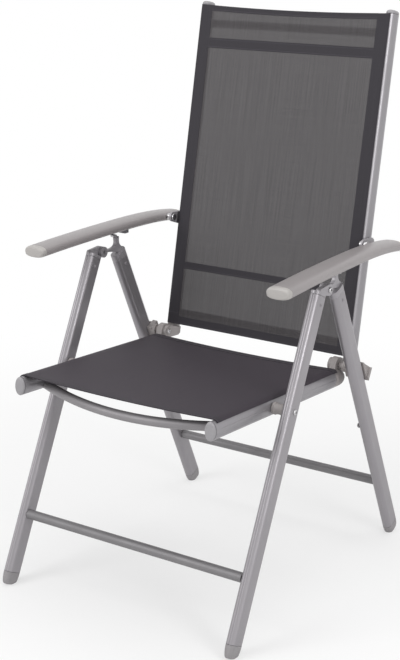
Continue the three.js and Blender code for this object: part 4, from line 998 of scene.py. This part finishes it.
def seen_directly(tree):
    """One for camera, glossy and transmission rays, so that metal shows the same white room."""
    path = new_node(tree, "LightPath", {}).outputs
    either = calculate(tree, "MAXIMUM", path["Is Camera Ray"], path["Is Glossy Ray"])
    return calculate(tree, "MAXIMUM", either, path["Is Transmission Ray"])


room = bpy.data.worlds.new("white room")
bpy.context.scene.world = room
room.use_nodes = True
room_tree = room.node_tree
extra = calculate(room_tree, "MULTIPLY", seen_directly(room_tree), 1 - ROOM_LEVEL)
feed(room_tree, room_tree.nodes["Background"].inputs, {
    "Color": (1, 1, 1, 1), "Strength": calculate(room_tree, "ADD", extra, ROOM_LEVEL)})

floor_mesh = bpy.data.meshes.new("floor")
floor_mesh.from_pydata([(x * FLOOR_HALF, y * FLOOR_HALF, 0) for x, y in FLOOR_CORNERS], [], [(0, 1, 2, 3)])
floor = add_object("floor", floor_mesh)
floor_paint, floor_tree, floor_shader = new_material("pale floor")
feed(floor_tree, floor_shader.inputs, {"Base Color": FLOOR_WHITE, "Roughness": 0.9})
from_chair = new_node(floor_tree, "VectorMath", {0: object_place(floor_tree)}, operation="LENGTH")
fade = new_node(floor_tree, "MapRange", {**FLOOR_FADE, "Value": from_chair.outputs["Value"]},
                interpolation_type="SMOOTHSTEP")
glow = new_node(floor_tree, "Emission", {})
either_way = new_node(floor_tree, "MixShader", {
    0: calculate(floor_tree, "MULTIPLY", seen_directly(floor_tree), fade.outputs[0]),
    1: floor_shader.outputs[0], 2: glow.outputs[0]})
feed(floor_tree, floor_tree.nodes["Material Output"].inputs, {"Surface": either_way.outputs[0]})
floor.data.materials.append(floor_paint)
floor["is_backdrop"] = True


def studio_lamp(name, where, towards, width, height, power):
    """A rectangular lamp; its places and sizes are in metres and its power in watts."""
    lamp = bpy.data.lights.new(name, "AREA")
    lamp.shape, lamp.size, lamp.size_y, lamp.energy = "RECTANGLE", width, height, power
    made = add_object(name, lamp)
    made.location = where
    made.rotation_euler = (Vector(towards) - Vector(where)).to_track_quat("-Z", "Y").to_euler()


studio_lamp("broad front lamp", (-1.5, -2.6, 2.2), towards=(0, 0, 0.5), width=1.6, height=2.2, power=46)
studio_lamp("side lamp", (2.6, -0.9, 1.5), towards=(0, 0, 0.5), width=0.8, height=1.6, power=24)
studio_lamp("overhead lamp", (0.2, 0.3, 3.0), towards=(0, 0, 0.4), width=2.0, height=2.0, power=24)

camera = bpy.data.cameras.new("camera")
camera.lens, camera.sensor_width, camera.sensor_fit = 78.037, 36, "AUTO"
camera.shift_x, camera.shift_y = -0.01174, -0.04557
viewpoint = add_object("camera", camera)
viewpoint.location = CAMERA_PLACE
viewpoint.rotation_euler = (radians(90 - CAMERA_TILT), 0, radians(CAMERA_TURN))
bpy.context.scene.camera = viewpoint
bpy.context.scene.view_settings.view_transform = "Standard"

low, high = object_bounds()
